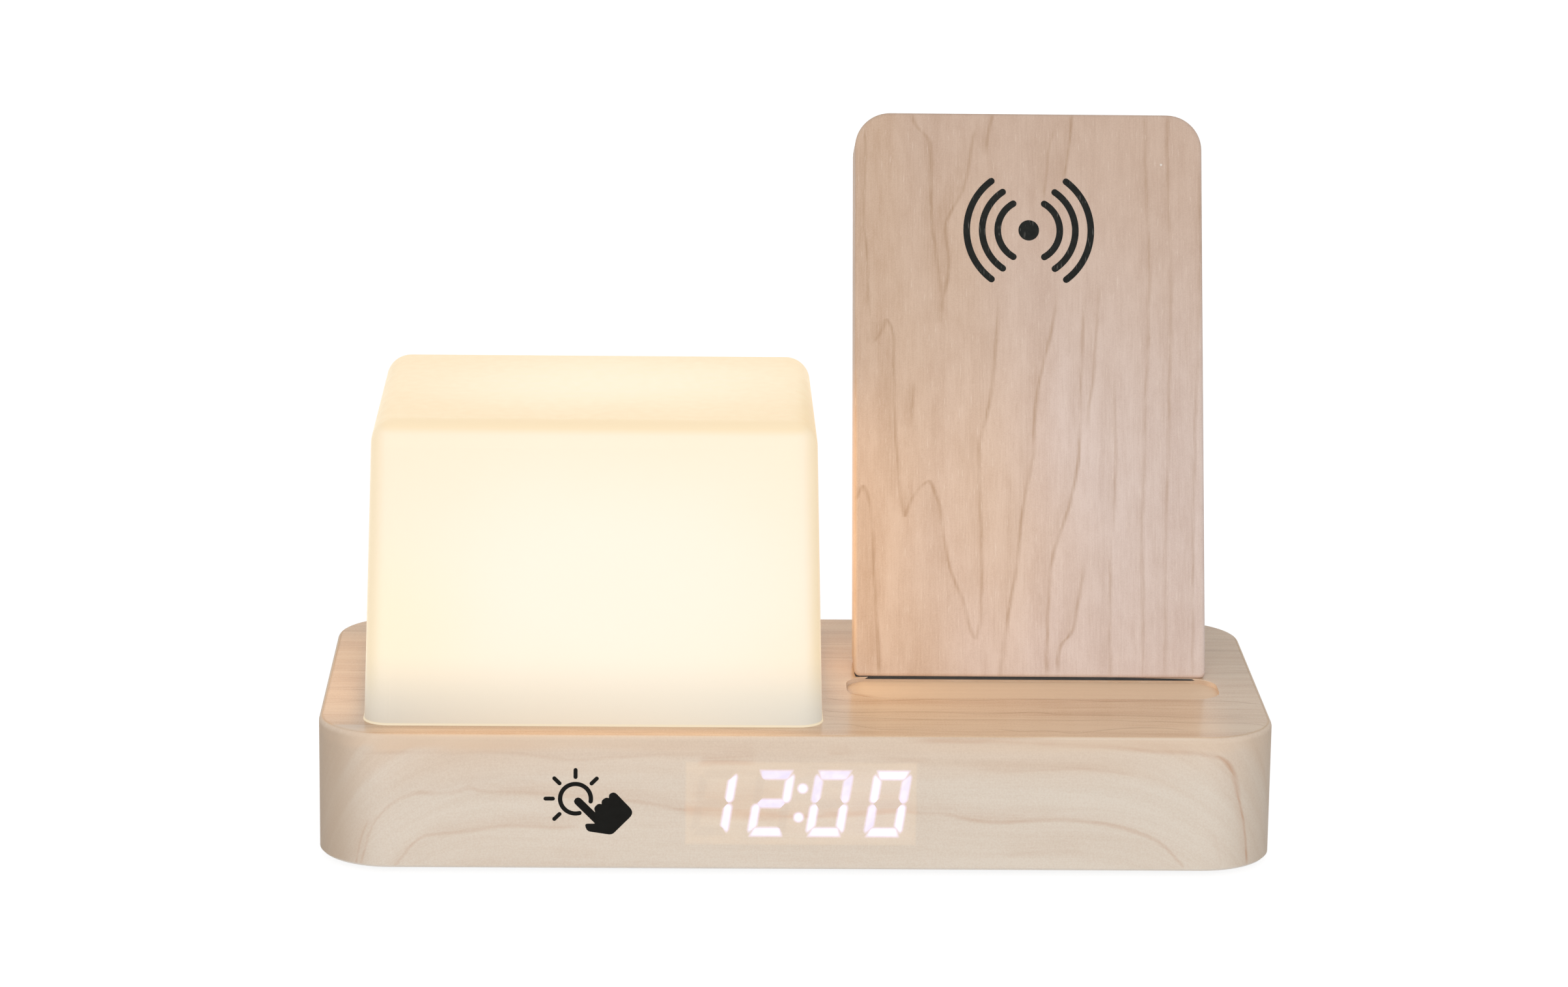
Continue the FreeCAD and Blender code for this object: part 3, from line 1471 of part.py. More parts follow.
def stand_cover():
    body = new_body("stand_cover", *on_stand(pocket_back, size["coil_rise"]), lean)
    outline = new_sketch(body, "outline", "XZ")
    width = stand_cover_width
    draw_rounded_rectangle(outline, width, width, size["stand_cover_corner"])
    pad(body, "plate", outline, size["stand_cover_thickness"], reversed_way=True)
    outer = size["stand_cover_thickness"].value
    round_edges(body, "bevel", size["foot_bevel"], edge_at_level(outer, "y"), kind="Chamfer")
    corner = new_sketch(
        body,
        "screw_hole",
        "XZ",
        -size["stand_cover_thickness"],
        -cover_spacing * HALF,
        -cover_spacing * HALF,
    )
    draw_circle(corner, size["board_screw"])
    seat = screw_holes(body, "screw_seat", corner, "board_screw", panel_head_seat, True)
    repeat(body, "screw_seats", seat, ("X", cover_spacing, 2), ("Z", cover_spacing, 2))
    screw_set(
        "stand_cover_screws",
        on_stand(pocket_back + cover_under_head, size["coil_rise"]),
        "board_screw",
        size["board_screw_length"],
        ("X", cover_spacing, 2),
        ("Z", cover_spacing, 2),
        facing="Y",
        points_on=False,
        lean=lean,
    )


def charging_unit():
    body = new_body("charging_coil", *on_stand(size["stand_skin"], size["coil_rise"]), lean)
    winding = new_sketch(body, "winding", "XZ")
    draw_ring(winding, size["coil_diameter"], size["coil_bore"])
    pad(body, "flat_winding", winding, size["coil_thickness"], reversed_way=True)

    ferrite_front = size["stand_skin"] + size["coil_thickness"]
    body = new_body("ferrite_sheet", *on_stand(ferrite_front, size["coil_rise"]), lean)
    tile = new_sketch(body, "tile", "XZ")
    draw_rectangle(tile, size["ferrite_width"], size["ferrite_height"])
    pad(body, "tile_plate", tile, size["ferrite_thickness"], reversed_way=True)
    middle = new_sketch(body, "middle", "XZ")
    draw_circle(middle, size["coil_bore"])
    pocket(body, "middle_hole", middle, size["ferrite_thickness"])

    body = new_body("coil_carrier", *on_stand(carrier_front, size["coil_rise"]), lean)
    plate = new_sketch(body, "plate", "XZ")
    draw_rounded_rectangle(plate, carrier_width, size["carrier_height"], size["board_corner"])
    pad(body, "carrier_plate", plate, size["carrier_thickness"], reversed_way=True)
    boss = new_sketch(body, "boss", "XZ")
    draw_circle(boss, boss_diameter)
    pad(body, "centring_boss", boss, size["coil_thickness"] + size["ferrite_thickness"])
    post = new_sketch(
        body,
        "post",
        "XZ",
        -size["carrier_thickness"],
        -carrier_spacing_x * HALF,
        -carrier_spacing_y * HALF,
    )
    draw_ring(post, size["carrier_post"], board_pilot)
    first = pad(body, "first_post", post, size["carrier_post_rise"], reversed_way=True)
    repeat(body, "posts", first, ("X", carrier_spacing_x, 2), ("Z", carrier_spacing_y, 2))
    pilot = new_sketch(
        body,
        "pilot",
        "XZ",
        -size["carrier_thickness"],
        -carrier_spacing_x * HALF,
        -carrier_spacing_y * HALF,
    )
    draw_circle(pilot, board_pilot)
    drilled = pocket(body, "first_pilot", pilot, size["carrier_thickness"], reversed_way=True)
    repeat(body, "pilots", drilled, ("X", carrier_spacing_x, 2), ("Z", carrier_spacing_y, 2))

    board(
        "charger_board",
        on_stand(charger_front, size["coil_rise"]),
        carrier_width,
        size["carrier_height"] + 2 * size["carrier_post_inset"],
        size["charger_board_thickness"],
        carrier_spacing_x,
        carrier_spacing_y,
        plane="XZ",
        lean=lean,
    )
    screw_set(
        "charger_screws",
        on_stand(charger_back, size["coil_rise"]),
        "board_screw",
        size["charger_screw_length"],
        ("X", carrier_spacing_x, 2),
        ("Z", carrier_spacing_y, 2),
        facing="Y",
        points_on=False,
        lean=lean,
    )
    body = new_body("charger_chip", *on_stand(charger_back, size["coil_rise"]), lean)
    case = new_sketch(body, "case", "XZ")
    draw_rectangle(case, size["chip_width"], size["chip_width"])
    pad(body, "package", case, size["chip_thickness"], reversed_way=True)


def coil_lead():
    body = new_body("coil_lead", stand_x)
    foot_level = size["coil_lead_inset"] * tangent(lean)
    climb = pocket_foot + size["coil_lead_tail"] - foot_level
    spine = new_sketch(body, "spine", "YZ")
    draw_route(
        spine,
        (
            (coil_lead_y, main_board_top),
            (coil_lead_y, block_top),
            (coil_lead_y + climb * sine(lean), block_top + climb * cosine(lean)),
        ),
        size["coil_lead_bend"],
    )
    wire = new_sketch(body, "wire", "XY", main_board_top, ZERO, coil_lead_y)
    draw_circle(wire, size["coil_lead_diameter"])
    pipe(body, "lead", wire, spine)


def check_model():
    """Stop if an object of the document failed or a piece has no sound solid."""
    document.recompute()
    for item in document.Objects:
        if "Invalid" in item.State or "Error" in item.State:
            raise RuntimeError(f"{item.Label} did not compute: {item.State}")
    for body in nodes:
        if body.Shape.isNull() or not body.Shape.isValid() or not body.Shape.Solids:
            raise RuntimeError(f"{body.Label} has no sound solid")


def write_parts():
    os.makedirs("parts", exist_ok=True)
    for body in nodes:
        body.Shape.exportStep(f"parts/{body.Label}.step")


base_shell()
bottom_cover()
feet()
cover_screws()
buzzer()
display()
touch_pad()
main_board()
rear_panel()
buttons()
rear_board()
power_socket()
lamp_shade()
lamp_tray()
lamp_inside()
stand_panel()
stand_screws()
stand_cover()
charging_unit()
coil_lead()
check_model()
write_parts()
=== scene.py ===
"""Looks of the bedside clock: wood, lit figures, printed signs, lamp glow, light and camera."""

import math

import bmesh
import bpy
from mathutils import Matrix, Vector

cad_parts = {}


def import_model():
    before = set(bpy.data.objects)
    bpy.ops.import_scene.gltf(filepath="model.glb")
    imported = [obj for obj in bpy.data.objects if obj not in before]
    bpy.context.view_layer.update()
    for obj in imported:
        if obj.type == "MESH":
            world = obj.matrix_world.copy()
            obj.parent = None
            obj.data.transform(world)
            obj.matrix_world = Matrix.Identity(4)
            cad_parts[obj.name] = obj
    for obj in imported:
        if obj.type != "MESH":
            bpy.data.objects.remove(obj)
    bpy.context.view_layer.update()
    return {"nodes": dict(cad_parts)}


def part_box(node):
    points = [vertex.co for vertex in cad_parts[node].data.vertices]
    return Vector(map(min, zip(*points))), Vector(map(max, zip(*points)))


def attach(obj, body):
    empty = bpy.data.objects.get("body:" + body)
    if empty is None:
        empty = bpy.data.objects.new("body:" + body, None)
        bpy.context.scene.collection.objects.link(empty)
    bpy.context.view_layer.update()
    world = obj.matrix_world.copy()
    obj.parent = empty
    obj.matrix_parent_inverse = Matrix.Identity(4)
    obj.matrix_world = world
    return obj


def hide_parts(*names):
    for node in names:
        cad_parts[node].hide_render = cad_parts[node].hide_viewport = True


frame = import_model()

# Places in the part's frame, in millimetres
FRONT = -53.007
BLOCK_TOP = 31.2
LEAN = math.radians(20.8)
STAND_X = 53.25
STAND_Y = -5.657
LAMP = (-44.2, -6.457)
LAMP_FOOT = (99.5, 79.0)
GROOVE_HALF = 41.5
SKIN_LEFT = -24.5
SKIN_RIGHT = 26.1
SKIN_LOW = 6.45
SKIN_HIGH = 25.75

# Grain lines are stored in curves from nought to one, which stand for this far either side of zero
CURVE_REACH = 120.0


def metres(x, y, z):
    return Vector((x, y, z)) * 0.001


def on_front(x, z, lift):
    """A point on the block's front face, lifted off it."""
    return metres(x, FRONT - lift, z)


def on_slope(x, up, lift):
    """A point on the leaning board's front face, lifted off it."""
    across = -lift
    y = STAND_Y + across * math.cos(LEAN) + up * math.sin(LEAN)
    z = BLOCK_TOP - across * math.sin(LEAN) + up * math.cos(LEAN)
    return metres(STAND_X + x, y, z)


class Shader:
    """One material and its node tree."""

    def __init__(self, name):
        self.material = bpy.data.materials.new(name)
        self.material.use_nodes = True
        self.tree = self.material.node_tree
        self.tree.nodes.clear()
        output = self.node("OutputMaterial")
        self.surface = self.node("BsdfPrincipled")
        self.tree.links.new(self.surface.outputs["BSDF"], output.inputs["Surface"])
        self.coordinates = self.node("TexCoord")
        self.geometry = self.node("NewGeometry")

    def node(self, kind):
        return self.tree.nodes.new("ShaderNode" + kind)

    def put(self, socket, value):
        if isinstance(value, bpy.types.NodeSocket):
            self.tree.links.new(value, socket)
        elif hasattr(value, "__len__") and socket.type == "RGBA" and len(value) == 3:
            socket.default_value = (*value, 1.0)
        else:
            socket.default_value = value

    def set(self, **values):
        for name, value in values.items():
            self.put(self.surface.inputs[name.replace("_", " ")], value)

    def math(self, operation, a, b=0.0, c=0.0, clamp=False):
        node = self.node("Math")
        node.operation = operation
        node.use_clamp = clamp
        for socket, value in zip(node.inputs, (a, b, c)):
            self.put(socket, value)
        return node.outputs[0]

    def add(self, a, b):
        return self.math("ADD", a, b)

    def sub(self, a, b):
        return self.math("SUBTRACT", a, b)

    def mul(self, a, b):
        return self.math("MULTIPLY", a, b)

    def most(self, a, b):
        return self.math("MAXIMUM", a, b)

    def least(self, a, b):
        return self.math("MINIMUM", a, b)

    def size(self, a):
        return self.math("ABSOLUTE", a)

    def flip(self, a):
        return self.math("SUBTRACT", 1.0, a)

    def place(self):
        """The object's own coordinates in millimetres."""
        node = self.node("VectorMath")
        node.operation = "SCALE"
        self.put(node.inputs[0], self.coordinates.outputs["Object"])
        node.inputs["Scale"].default_value = 1000.0
        return self.split(node.outputs[0])

    def normal(self):
        return self.split(self.geometry.outputs["Normal"])

    def split(self, vector):
        node = self.node("SeparateXYZ")
        self.put(node.inputs[0], vector)
        return node.outputs[0], node.outputs[1], node.outputs[2]

    def join(self, x, y, z):
        node = self.node("CombineXYZ")
        for socket, value in zip(node.inputs, (x, y, z)):
            self.put(socket, value)
        return node.outputs[0]

    def noise(self, vector, scale, detail=2.0, roughness=0.5, distortion=0.0):
        node = self.node("TexNoise")
        self.put(node.inputs["Vector"], vector)
        node.inputs["Scale"].default_value = scale
        node.inputs["Detail"].default_value = detail
        node.inputs["Roughness"].default_value = roughness
        node.inputs["Distortion"].default_value = distortion
        return node.outputs[0]

    def streaks(self, along, across, depth, stretch, width, detail=2.0, roughness=0.5, distortion=0.0):
        """Noise drawn out along the grain: stretch and width are in millimetres."""
        vector = self.join(self.mul(along, 1.0 / stretch), self.mul(across, 1.0 / width), depth)
        return self.noise(vector, 1.0, detail, roughness, distortion)

    def cells(self, vector, scale):
        node = self.node("TexVoronoi")
        self.put(node.inputs["Vector"], vector)
        node.inputs["Scale"].default_value = scale
        return node.outputs[0]

    def attribute(self, name):
        """A share that the mesh carries at its vertices."""
        node = self.node("Attribute")
        node.attribute_name = name
        return node.outputs["Fac"]

    def step(self, value, low, high, to_low=0.0, to_high=1.0):
        """Smooth change from to_low to to_high while the value goes from low to high."""
        return self.spread(value, low, high, to_low, to_high, "SMOOTHSTEP")

    def spread(self, value, low, high, to_low, to_high, kind="LINEAR"):
        """Change from to_low to to_high, straight unless kind says otherwise, clamped at both ends."""
        node = self.node("MapRange")
        node.interpolation_type = kind
        for socket, item in zip(node.inputs, (value, low, high, to_low, to_high)):
            self.put(socket, item)
        return node.outputs[0]

    def mix(self, factor, a, b, kind="MIX"):
        node = self.node("Mix")
        node.data_type = "RGBA"
        node.blend_type = kind
        self.put(node.inputs["Factor"], factor)
        self.put(node.inputs[6], a)
        self.put(node.inputs[7], b)
        return node.outputs[2]

    def curve(self, value, points):
        node = self.node("FloatCurve")
        self.put(node.inputs["Value"], value)
        shape = node.mapping.curves[0]
        shape.points[0].location = points[0]
        shape.points[-1].location = points[-1]
        for point in points[1:-1]:
            shape.points.new(*point)
        node.mapping.update()
        return node.outputs[0]

    def bump(self, height, strength, distance=0.0002):
        node = self.node("Bump")
        node.inputs["Strength"].default_value = strength
        node.inputs["Distance"].default_value = distance
        self.put(node.inputs["Height"], height)
        self.put(self.surface.inputs["Normal"], node.outputs[0])

    def edges(self, radius):
        """One along sharp edges and nought on the faces."""
        node = self.node("Bevel")
        node.samples = 4
        node.inputs["Radius"].default_value = radius
        product = self.node("VectorMath")
        product.operation = "DOT_PRODUCT"
        self.put(product.inputs[0], node.outputs[0])
        self.put(product.inputs[1], self.geometry.outputs["Normal"])
        return self.step(product.outputs["Value"], 0.99, 0.8)

    def line(self, across, along, points, width, ends=(6.0, 6.0), side=1.0, veil=0.35, reach=4.0):
        """Darkness of one grain line with a soft veil on one side: points are (across, along)."""
        first, last = points[0][1], points[-1][1]
        length = last - first
        share = self.mul(self.sub(along, first), 1.0 / length)
        full = 2.0 * CURVE_REACH
        shape = [((p[1] - first) / length, (p[0] + CURVE_REACH) / full) for p in points]
        middle = self.math("MULTIPLY_ADD", self.curve(share, shape), full, -CURVE_REACH)
        gap = self.sub(across, middle)
        core = self.step(self.size(gap), 0.0, width, 1.0, 0.0)
        gap = self.mul(gap, side)
        soft = self.mul(self.step(gap, reach * width, 0.0), self.step(gap, -width, 0.0))
        start = self.step(self.sub(along, first), -0.2, max(ends[0], 0.1))
        stop = self.step(self.sub(last, along), -0.2, max(ends[1], 0.1))
        fade = self.step(self.size(self.sub(share, 0.5)), 0.5, 0.3, 0.0, veil)
        return self.most(self.mul(core, self.mul(start, stop)), self.mul(soft, fade))


# Grain lines of the leaning board: (across, up) points, width and fading lengths
BOARD_LINES = [
    ([(-33.9, 0), (-34.9, 20), (-35.3, 30.6), (-36.1, 39.5), (-37.5, 43.5)], 0.75, (3, 0)),
    ([(-39.3, 40), (-38.3, 42.2), (-37.5, 43.5)], 0.8, (1, 0)),
    ([(-28.3, 36.4), (-29.1, 41.7), (-30, 51.8), (-30.5, 61.8), (-30.7, 73.5), (-30.9, 78.8),
      (-32.4, 81.5)], 0.7, (0, 0)),
    ([(-28.3, 36.4), (-26.1, 41.2), (-24.5, 43.4), (-22.7, 44.7)], 0.8, (0, 0)),
    ([(-12.1, 8.8), (-13, 10.3), (-15.1, 17.5), (-17.7, 23.8), (-19.5, 32.3), (-20.8, 40.2),
      (-22.7, 44.7)], 0.75, (0, 0)),
    ([(-12.1, 8.8), (-11.2, 12.3), (-10.9, 20.2), (-11.1, 33.4), (-11.3, 44), (-11.1, 54.5), (-9.4, 60.4),
      (-8.2, 68.4), (-7.6, 76.4), (-7.1, 84.4), (-6.6, 89)], 0.8, (0, 8)),
    ([(-35.8, 75.6), (-34, 77.8), (-32.4, 81.5)], 0.8, (2, 0)),
    ([(-36.1, 80.9), (-36.3, 84.1), (-36.7, 94.8), (-37.5, 106.6), (-37.3, 116.2),
      (-37.6, 125.4)], 0.6, (6, 2)),
    ([(-26.2, 56), (-26.6, 59.2), (-26.5, 63.4), (-26.4, 68)], 0.8, (5, 3)),
    ([(-19.7, 86.4), (-20.6, 91.7), (-21.6, 100.3), (-22.1, 111), (-22.4, 120.1), (-23.2, 123.3),
      (-25.6, 126), (-26.7, 128.9)], 0.85, (0, 1)),
    ([(-19.7, 86.4), (-18.7, 90.1), (-18.3, 95), (-18.8, 100.3), (-18.7, 103.5), (-17.6, 106.2), (-15.5, 110),
      (-14.2, 114.3), (-13.4, 119.1), (-12.3, 126)], 0.75, (0, 3)),
    ([(-19.7, 80), (-19.7, 86.8)], 0.7, (6, 0)),
    ([(-9.7, 118.6), (-9.4, 123.5), (-8, 129)], 0.7, (4, 1)),
    ([(-6.9, 0), (-5.7, 9.2), (-4.6, 16), (-3, 24), (-2.2, 33.4), (-1.1, 41.4), (0.7, 49.4), (1.1, 57.8),
      (1.9, 64.8), (3, 70.6), (4, 74.9), (5.1, 80.2), (6.1, 84.5), (6.4, 90)], 0.75, (0, 8)),
    ([(3.7, 0), (4.2, 19.8), (4.6, 25), (6.5, 31.9), (8.6, 38.3), (10.5, 46.7), (11.2, 55), (11.6, 63.2),
      (11.9, 71.2), (12.3, 79.2), (12.4, 82.9), (13.6, 90)], 0.75, (3, 8)),
    ([(6.4, 1), (6.5, 6.1), (7.4, 8.2), (9, 9.8), (10.6, 15.6), (11.7, 23), (12.2, 29)], 0.8, (3, 8)),
    ([(13.1, 55), (13.4, 60.5), (14.5, 68.5), (15, 76.5), (15.6, 84.5), (15.7, 93)], 0.65, (8, 8)),
    ([(3.2, 108), (4.1, 115), (4.6, 120.9), (6.3, 126.5)], 0.6, (4, 4)),
    ([(7.6, 112), (8.9, 119.3), (9.8, 129)], 0.6, (5, 1)),
    ([(17.9, 0), (18, 16), (18.1, 33)], 0.8, (2, 10)),
    ([(19.1, 32), (19.4, 59), (19.2, 75)], 0.7, (8, 12)),
    ([(25.4, 0), (25.7, 44), (26.6, 69), (27, 79), (27.3, 98.5), (26.8, 112), (26.7, 129)], 0.8, (2, 2)),
    ([(30.4, 0), (31.3, 52), (31.9, 68), (32.2, 89), (32.1, 101), (31.6, 117), (31.4, 122),
      (32, 129)], 0.75, (3, 2)),
    ([(36.7, 0), (36.9, 34), (38.9, 100), (38.7, 117)], 0.6, (3, 8)),
]

# Grain lines of the block's front: (height, run) points, width, fading lengths and strength
FRONT_LINES_ALONG = [
    ([(14, -89.3), (16.3, -86.5), (18, -82.7), (18, -77.8), (18.6, -73), (19.3, -70.8), (18.6, -68),
      (18.5, -60.5), (18.2, -55), (17.9, -51.2), (17.3, -44.2), (16.6, -37.1), (16.3, -33.3), (15.4, -29),
      (14.4, -24), (13.8, -20.3), (13.6, -14), (13.3, -5), (13.4, 5), (13.8, 14), (14.4, 22), (14.2, 27.4),
      (13.9, 32.9), (13.1, 36.1), (12.2, 42.7), (12.6, 50.3), (12.9, 56.9), (12.4, 63.4), (11.6, 68.9),
      (10.2, 73.3), (8.8, 76.7), (7.1, 79.4), (4.2, 82.3), (2.2, 84)], 0.9, (0, 0), 0.85),
    ([(24.4, 33.7), (23.7, 46.3), (24, 53.3), (24.3, 59.9), (23.5, 68), (22.7, 74.1)], 0.8, (9, 4), 0.5),
    ([(26.2, 16), (26.1, 21.7), (25.8, 29.4)], 0.7, (5, 4), 0.4),
    ([(30.3, 21.7), (30.4, 34.7), (30.2, 46.1), (29.7, 59.7), (29.2, 69), (28.4, 76.1), (27.9, 87),
      (26.9, 91.2)], 1, (9, 0), 0.9),
    ([(6.3, -83.3), (8.1, -81.1), (8.9, -77.3), (9.5, -72.4), (10.2, -68.1), (10.8, -63.7), (10.9, -60.5),
      (10.6, -55), (10.5, -49.6), (10.8, -45.3)], 0.8, (0, 5), 0.7),
    ([(3.9, -53), (4, -43)], 0.8, (3, 4), 0.35),
    ([(4.6, 44), (5.2, 50.5), (5.8, 57.6), (4.7, 63.6)], 1.2, (4, 4), 0.3),
    ([(15.2, -26), (14.3, -20.3), (14, -14), (13.6, -5), (13.4, 0)], 2.2, (3, 6), 1),
    ([(13.6, 3), (14.1, 12), (14.7, 22), (14.4, 27)], 1.3, (4, 3), 0.8),
    ([(25.2, -22), (25.5, -15), (25.3, -8)], 1.3, (2, 4), 0.7),
    ([(26.2, -22), (26.5, -14), (26.9, -8)], 0.6, (3, 3), 0.6),
    ([(27.4, 6), (27.6, 12)], 0.6, (2, 2), 0.5),
    ([(26.6, -95.3), (27.3, -82.7), (27.1, -72.9), (27.4, -63.7), (26.6, -55.6), (25.8, -50.2), (26.1, -42.1),
      (27, -30), (27.4, -10)], 0.8, (2, 12), 0.45),
]
FRONT_LINES_UP = [
    ([(-97.3, 1.2), (-96.3, 4.9), (-94.7, 9.1), (-92.5, 12.7)], 0.65, (0, 3), 0.9),
    ([(-95.7, 1.2), (-94.4, 5.1), (-92.2, 10.4), (-89.3, 14)], 0.65, (0, 0), 0.8),
    ([(-87.1, 1.2), (-85, 4), (-83.3, 6.3), (-81.1, 8.1)], 0.8, (0, 0), 0.75),
    ([(102, 1.2), (101.1, 6.5), (100.3, 10), (99.3, 13.4), (97.9, 16.9), (96.6, 20.8), (95.1, 23.7),
      (93.1, 26), (91, 27.1)], 0.9, (2, 0), 1.8),
    ([(98.2, 16), (96.6, 20.8), (95.1, 23.7), (93.1, 26), (90.6, 27.3)], 1.8, (3, 0), 1.6),
    ([(92.8, 2), (91.6, 7), (90.3, 11.3)], 0.7, (1, 3), 0.35),
]

# Thin growth lines of the block's top: (depth, run) points, width and fading lengths
TOP_LINES = [
    ([(-21.6, 5.8), (-23.6, 8.6), (-25, 12.2), (-25.2, 15.7), (-24.4, 21.5), (-23.3, 30), (-24, 38),
      (-23.4, 45), (-22.9, 53), (-23.2, 62), (-24.2, 69), (-23.2, 80.7), (-23.4, 87.3), (-23.7, 96.8),
      (-25.4, 101.7), (-26.2, 103.6)], 0.9, (2, 1)),
    ([(-32, 5.5), (-33.7, 9.1), (-33.9, 12.5), (-33.6, 20.1), (-33.4, 31.1), (-34.7, 40), (-34.1, 47),
      (-33, 52.5), (-34.4, 56), (-35, 61), (-35.1, 67.6), (-36, 79.5), (-36.4, 86), (-36, 95.5),
      (-36.7, 100.4)], 0.8, (2, 4)),
    ([(-36.8, 5.6), (-37.8, 9.5), (-38.3, 17), (-39.2, 24.6), (-39.4, 32.2), (-39.2, 50.7), (-39.4, 60.6),
      (-39.2, 70.6), (-40.3, 75.2), (-39.9, 79.1), (-40.9, 85.5), (-41, 96.9), (-42, 100.8),
      (-43.4, 102.2)], 0.7, (2, 1)),
    ([(-43.6, 5.2), (-43.5, 11.2), (-47.1, 17.7), (-47.3, 24.3), (-48.5, 31.7)], 0.8, (2, 8)),
    ([(-45.7, 42), (-47.9, 47.4), (-47.8, 55), (-49.4, 59.9), (-48.2, 63.2), (-45.7, 70), (-45, 78.6),
      (-46.9, 85.4)], 0.8, (5, 4)),
    ([(-14.8, 11.5), (-15.8, 13.7), (-18.5, 16.7), (-19.9, 18.8), (-20.2, 21.7), (-19.1, 25.6),
      (-16.1, 30.5)], 0.9, (1, 5)),
    ([(-46.9, -100.9), (-46.1, -100), (-45.9, -97.8), (-45.7, -93.6), (-45.7, -88)], 0.9, (1, 3)),
]


def wood_tone(g, along, across, depth):
    """Soft bands, medium streaks and fine fibres, around nought."""
    bands = g.sub(g.streaks(along, across, depth, 120.0, 9.0, 2.0, 0.5, 0.4), 0.5)
    middle = g.sub(g.streaks(along, across, depth, 42.0, 2.2, 3.0, 0.55, 0.3), 0.5)
    fibres = g.sub(g.streaks(along, across, depth, 8.0, 0.34, 2.0, 0.6), 0.5)
    return bands, middle, fibres


def base_wood(name, skin=False):
    g = Shader(name)
    x, y, z = g.place()
    _, ny, nz = g.normal()
    top = g.step(nz, 0.75, 0.97)
    rear = g.step(ny, 0.6, 0.9)
    turned = g.add(x, g.mul(g.math("SIGN", x), g.sub(y, FRONT)))
    run = g.add(g.mul(turned, g.flip(rear)), g.mul(x, rear))
    outward = g.most(g.sub(g.size(run), 64.0), 0.0)
    level = g.add(z, g.mul(g.math("POWER", g.mul(outward, 0.03), 2.0), 16.0))
    across = g.add(g.mul(level, g.flip(top)), g.mul(y, top))
    along = g.add(g.mul(run, g.flip(top)), g.mul(x, top))
    depth = g.add(g.mul(top, 7.3), g.mul(rear, 3.1))
    bands, middle, fibres = wood_tone(g, along, across, depth)
    # The drawn lines waver a little
    waver = g.mul(g.sub(g.streaks(along, across, 2.2, 16.0, 14.0, 2.0), 0.5), 0.6)
    height = g.add(z, waver)
    sideways = g.add(run, waver)
    lines = None
    front = g.mul(g.flip(top), g.flip(rear))
    for points, width, ends, strength in FRONT_LINES_ALONG:
        if skin and (points[0][1] > SKIN_RIGHT or points[-1][1] < SKIN_LEFT):
            continue
        mark = g.mul(g.line(height, run, points, width, ends, 1.0, 0.5, 5.0), strength)
        lines = mark if lines is None else g.most(lines, mark)
    rising_lines = [] if skin else FRONT_LINES_UP
    for points, width, ends, strength in rising_lines:
        lines = g.most(lines, g.mul(g.line(sideways, z, points, width, ends, -1.0, 0.3), strength))
    broken = g.spread(g.streaks(along, across, 5.5, 16.0, 3.0, 2.0), 0.35, 0.6, 0.45, 1.0)
    lines = g.mul(g.mul(lines, broken), front)
    lines = g.mul(lines, g.spread(fibres, -0.2, 0.2, 0.75, 1.0))
    # Thin brown growth lines of the top
    rings = g.streaks(x, g.add(y, g.mul(waver, 2.0)), 9.1, 90.0, 3.1, 2.0, 0.6, 0.6)
    rings = g.step(g.size(g.sub(rings, 0.5)), 0.0, 0.035, 1.0, 0.0)
    rings = g.mul(rings, g.spread(g.streaks(x, y, 1.7, 30.0, 5.0), 0.4, 0.65, 0.0, 1.0))
    drawn = 0.0
    growth_lines = [] if skin else TOP_LINES
    for points, width, ends in growth_lines:
        mark = g.line(g.add(y, g.mul(waver, 0.25)), x, points, width * 0.75, ends, 1.0, 0.25)
        drawn = g.most(drawn, mark)
    drawn = g.mul(drawn, g.spread(g.streaks(x, y, 3.9, 12.0, 3.0), 0.35, 0.6, 0.5, 1.0))
    free = g.most(g.step(x, 6.0, 2.0), g.step(y, -8.0, 0.0))
    rings = g.mul(g.most(g.mul(rings, free), drawn), top)
    # Painted lamp light: the front turns warmer towards its top
    warm = g.step(g.add(z, g.mul(bands, 18.0)), 16.0, 31.0)
    pale = g.mix(warm, (0.8, 0.712, 0.612), (0.81, 0.672, 0.545))
    light = g.mix(top, pale, (0.77, 0.572, 0.405))
    dark = g.mix(top, (0.65, 0.5, 0.385), (0.556, 0.34, 0.21))
    grain = g.sub(g.noise(g.join(x, y, z), 2.4, 2.0, 0.6), 0.5)
    shade = g.add(g.mul(bands, g.spread(top, 0.0, 1.0, 0.85, 1.1)),
                  g.mul(middle, g.spread(top, 0.0, 1.0, 0.42, 1.0)))
    shade = g.add(shade, g.mul(fibres, g.spread(top, 0.0, 1.0, 0.3, 0.6)))
    shade = g.add(shade, g.add(g.mul(grain, 0.8), 0.22))
    colour = g.mix(g.math("MAXIMUM", shade, 0.0, clamp=True), light, dark)
    # Painted shade: the front darkens round its rounded end corners, more at the left end, fading along the
    # sides
    corner = g.mul(g.step(g.size(run), 88.0, 106.0), g.flip(top))
    corner = g.mul(corner, g.mul(g.step(g.size(run), 135.0, 112.0, 0.1, 1.0), g.step(y, 0.0, -20.0)))
    corner = g.mul(g.mul(corner, g.spread(x, -80.0, 80.0, 0.7, 0.32)), g.step(z, 31.0, 29.6))
    colour = g.mix(corner, colour, (0.535, 0.405, 0.295))
    # Painted lamp glow: a warmer band under the top edge, strongest beside the lamp
    lamp_glow_band = g.step(g.add(z, g.mul(bands, 4.0)), 26.9, 28.9)
    sides = g.most(g.spread(x, -70.0, -15.0, 0.75, 0.05), g.spread(x, 10.0, 60.0, 0.05, 0.45))
    lamp_glow_band = g.mul(g.mul(lamp_glow_band, g.flip(top)), sides)
    colour = g.mix(g.mul(lamp_glow_band, g.spread(g.size(run), 88.0, 104.0, 1.0, 0.2)), colour, (0.8, 0.61, 0.45))
    colour = g.mix(g.least(g.mul(lines, 0.34), 0.7), colour, (0.5, 0.235, 0.11))
    colour = g.mix(g.mul(rings, 0.34), colour, (0.36, 0.2, 0.115))
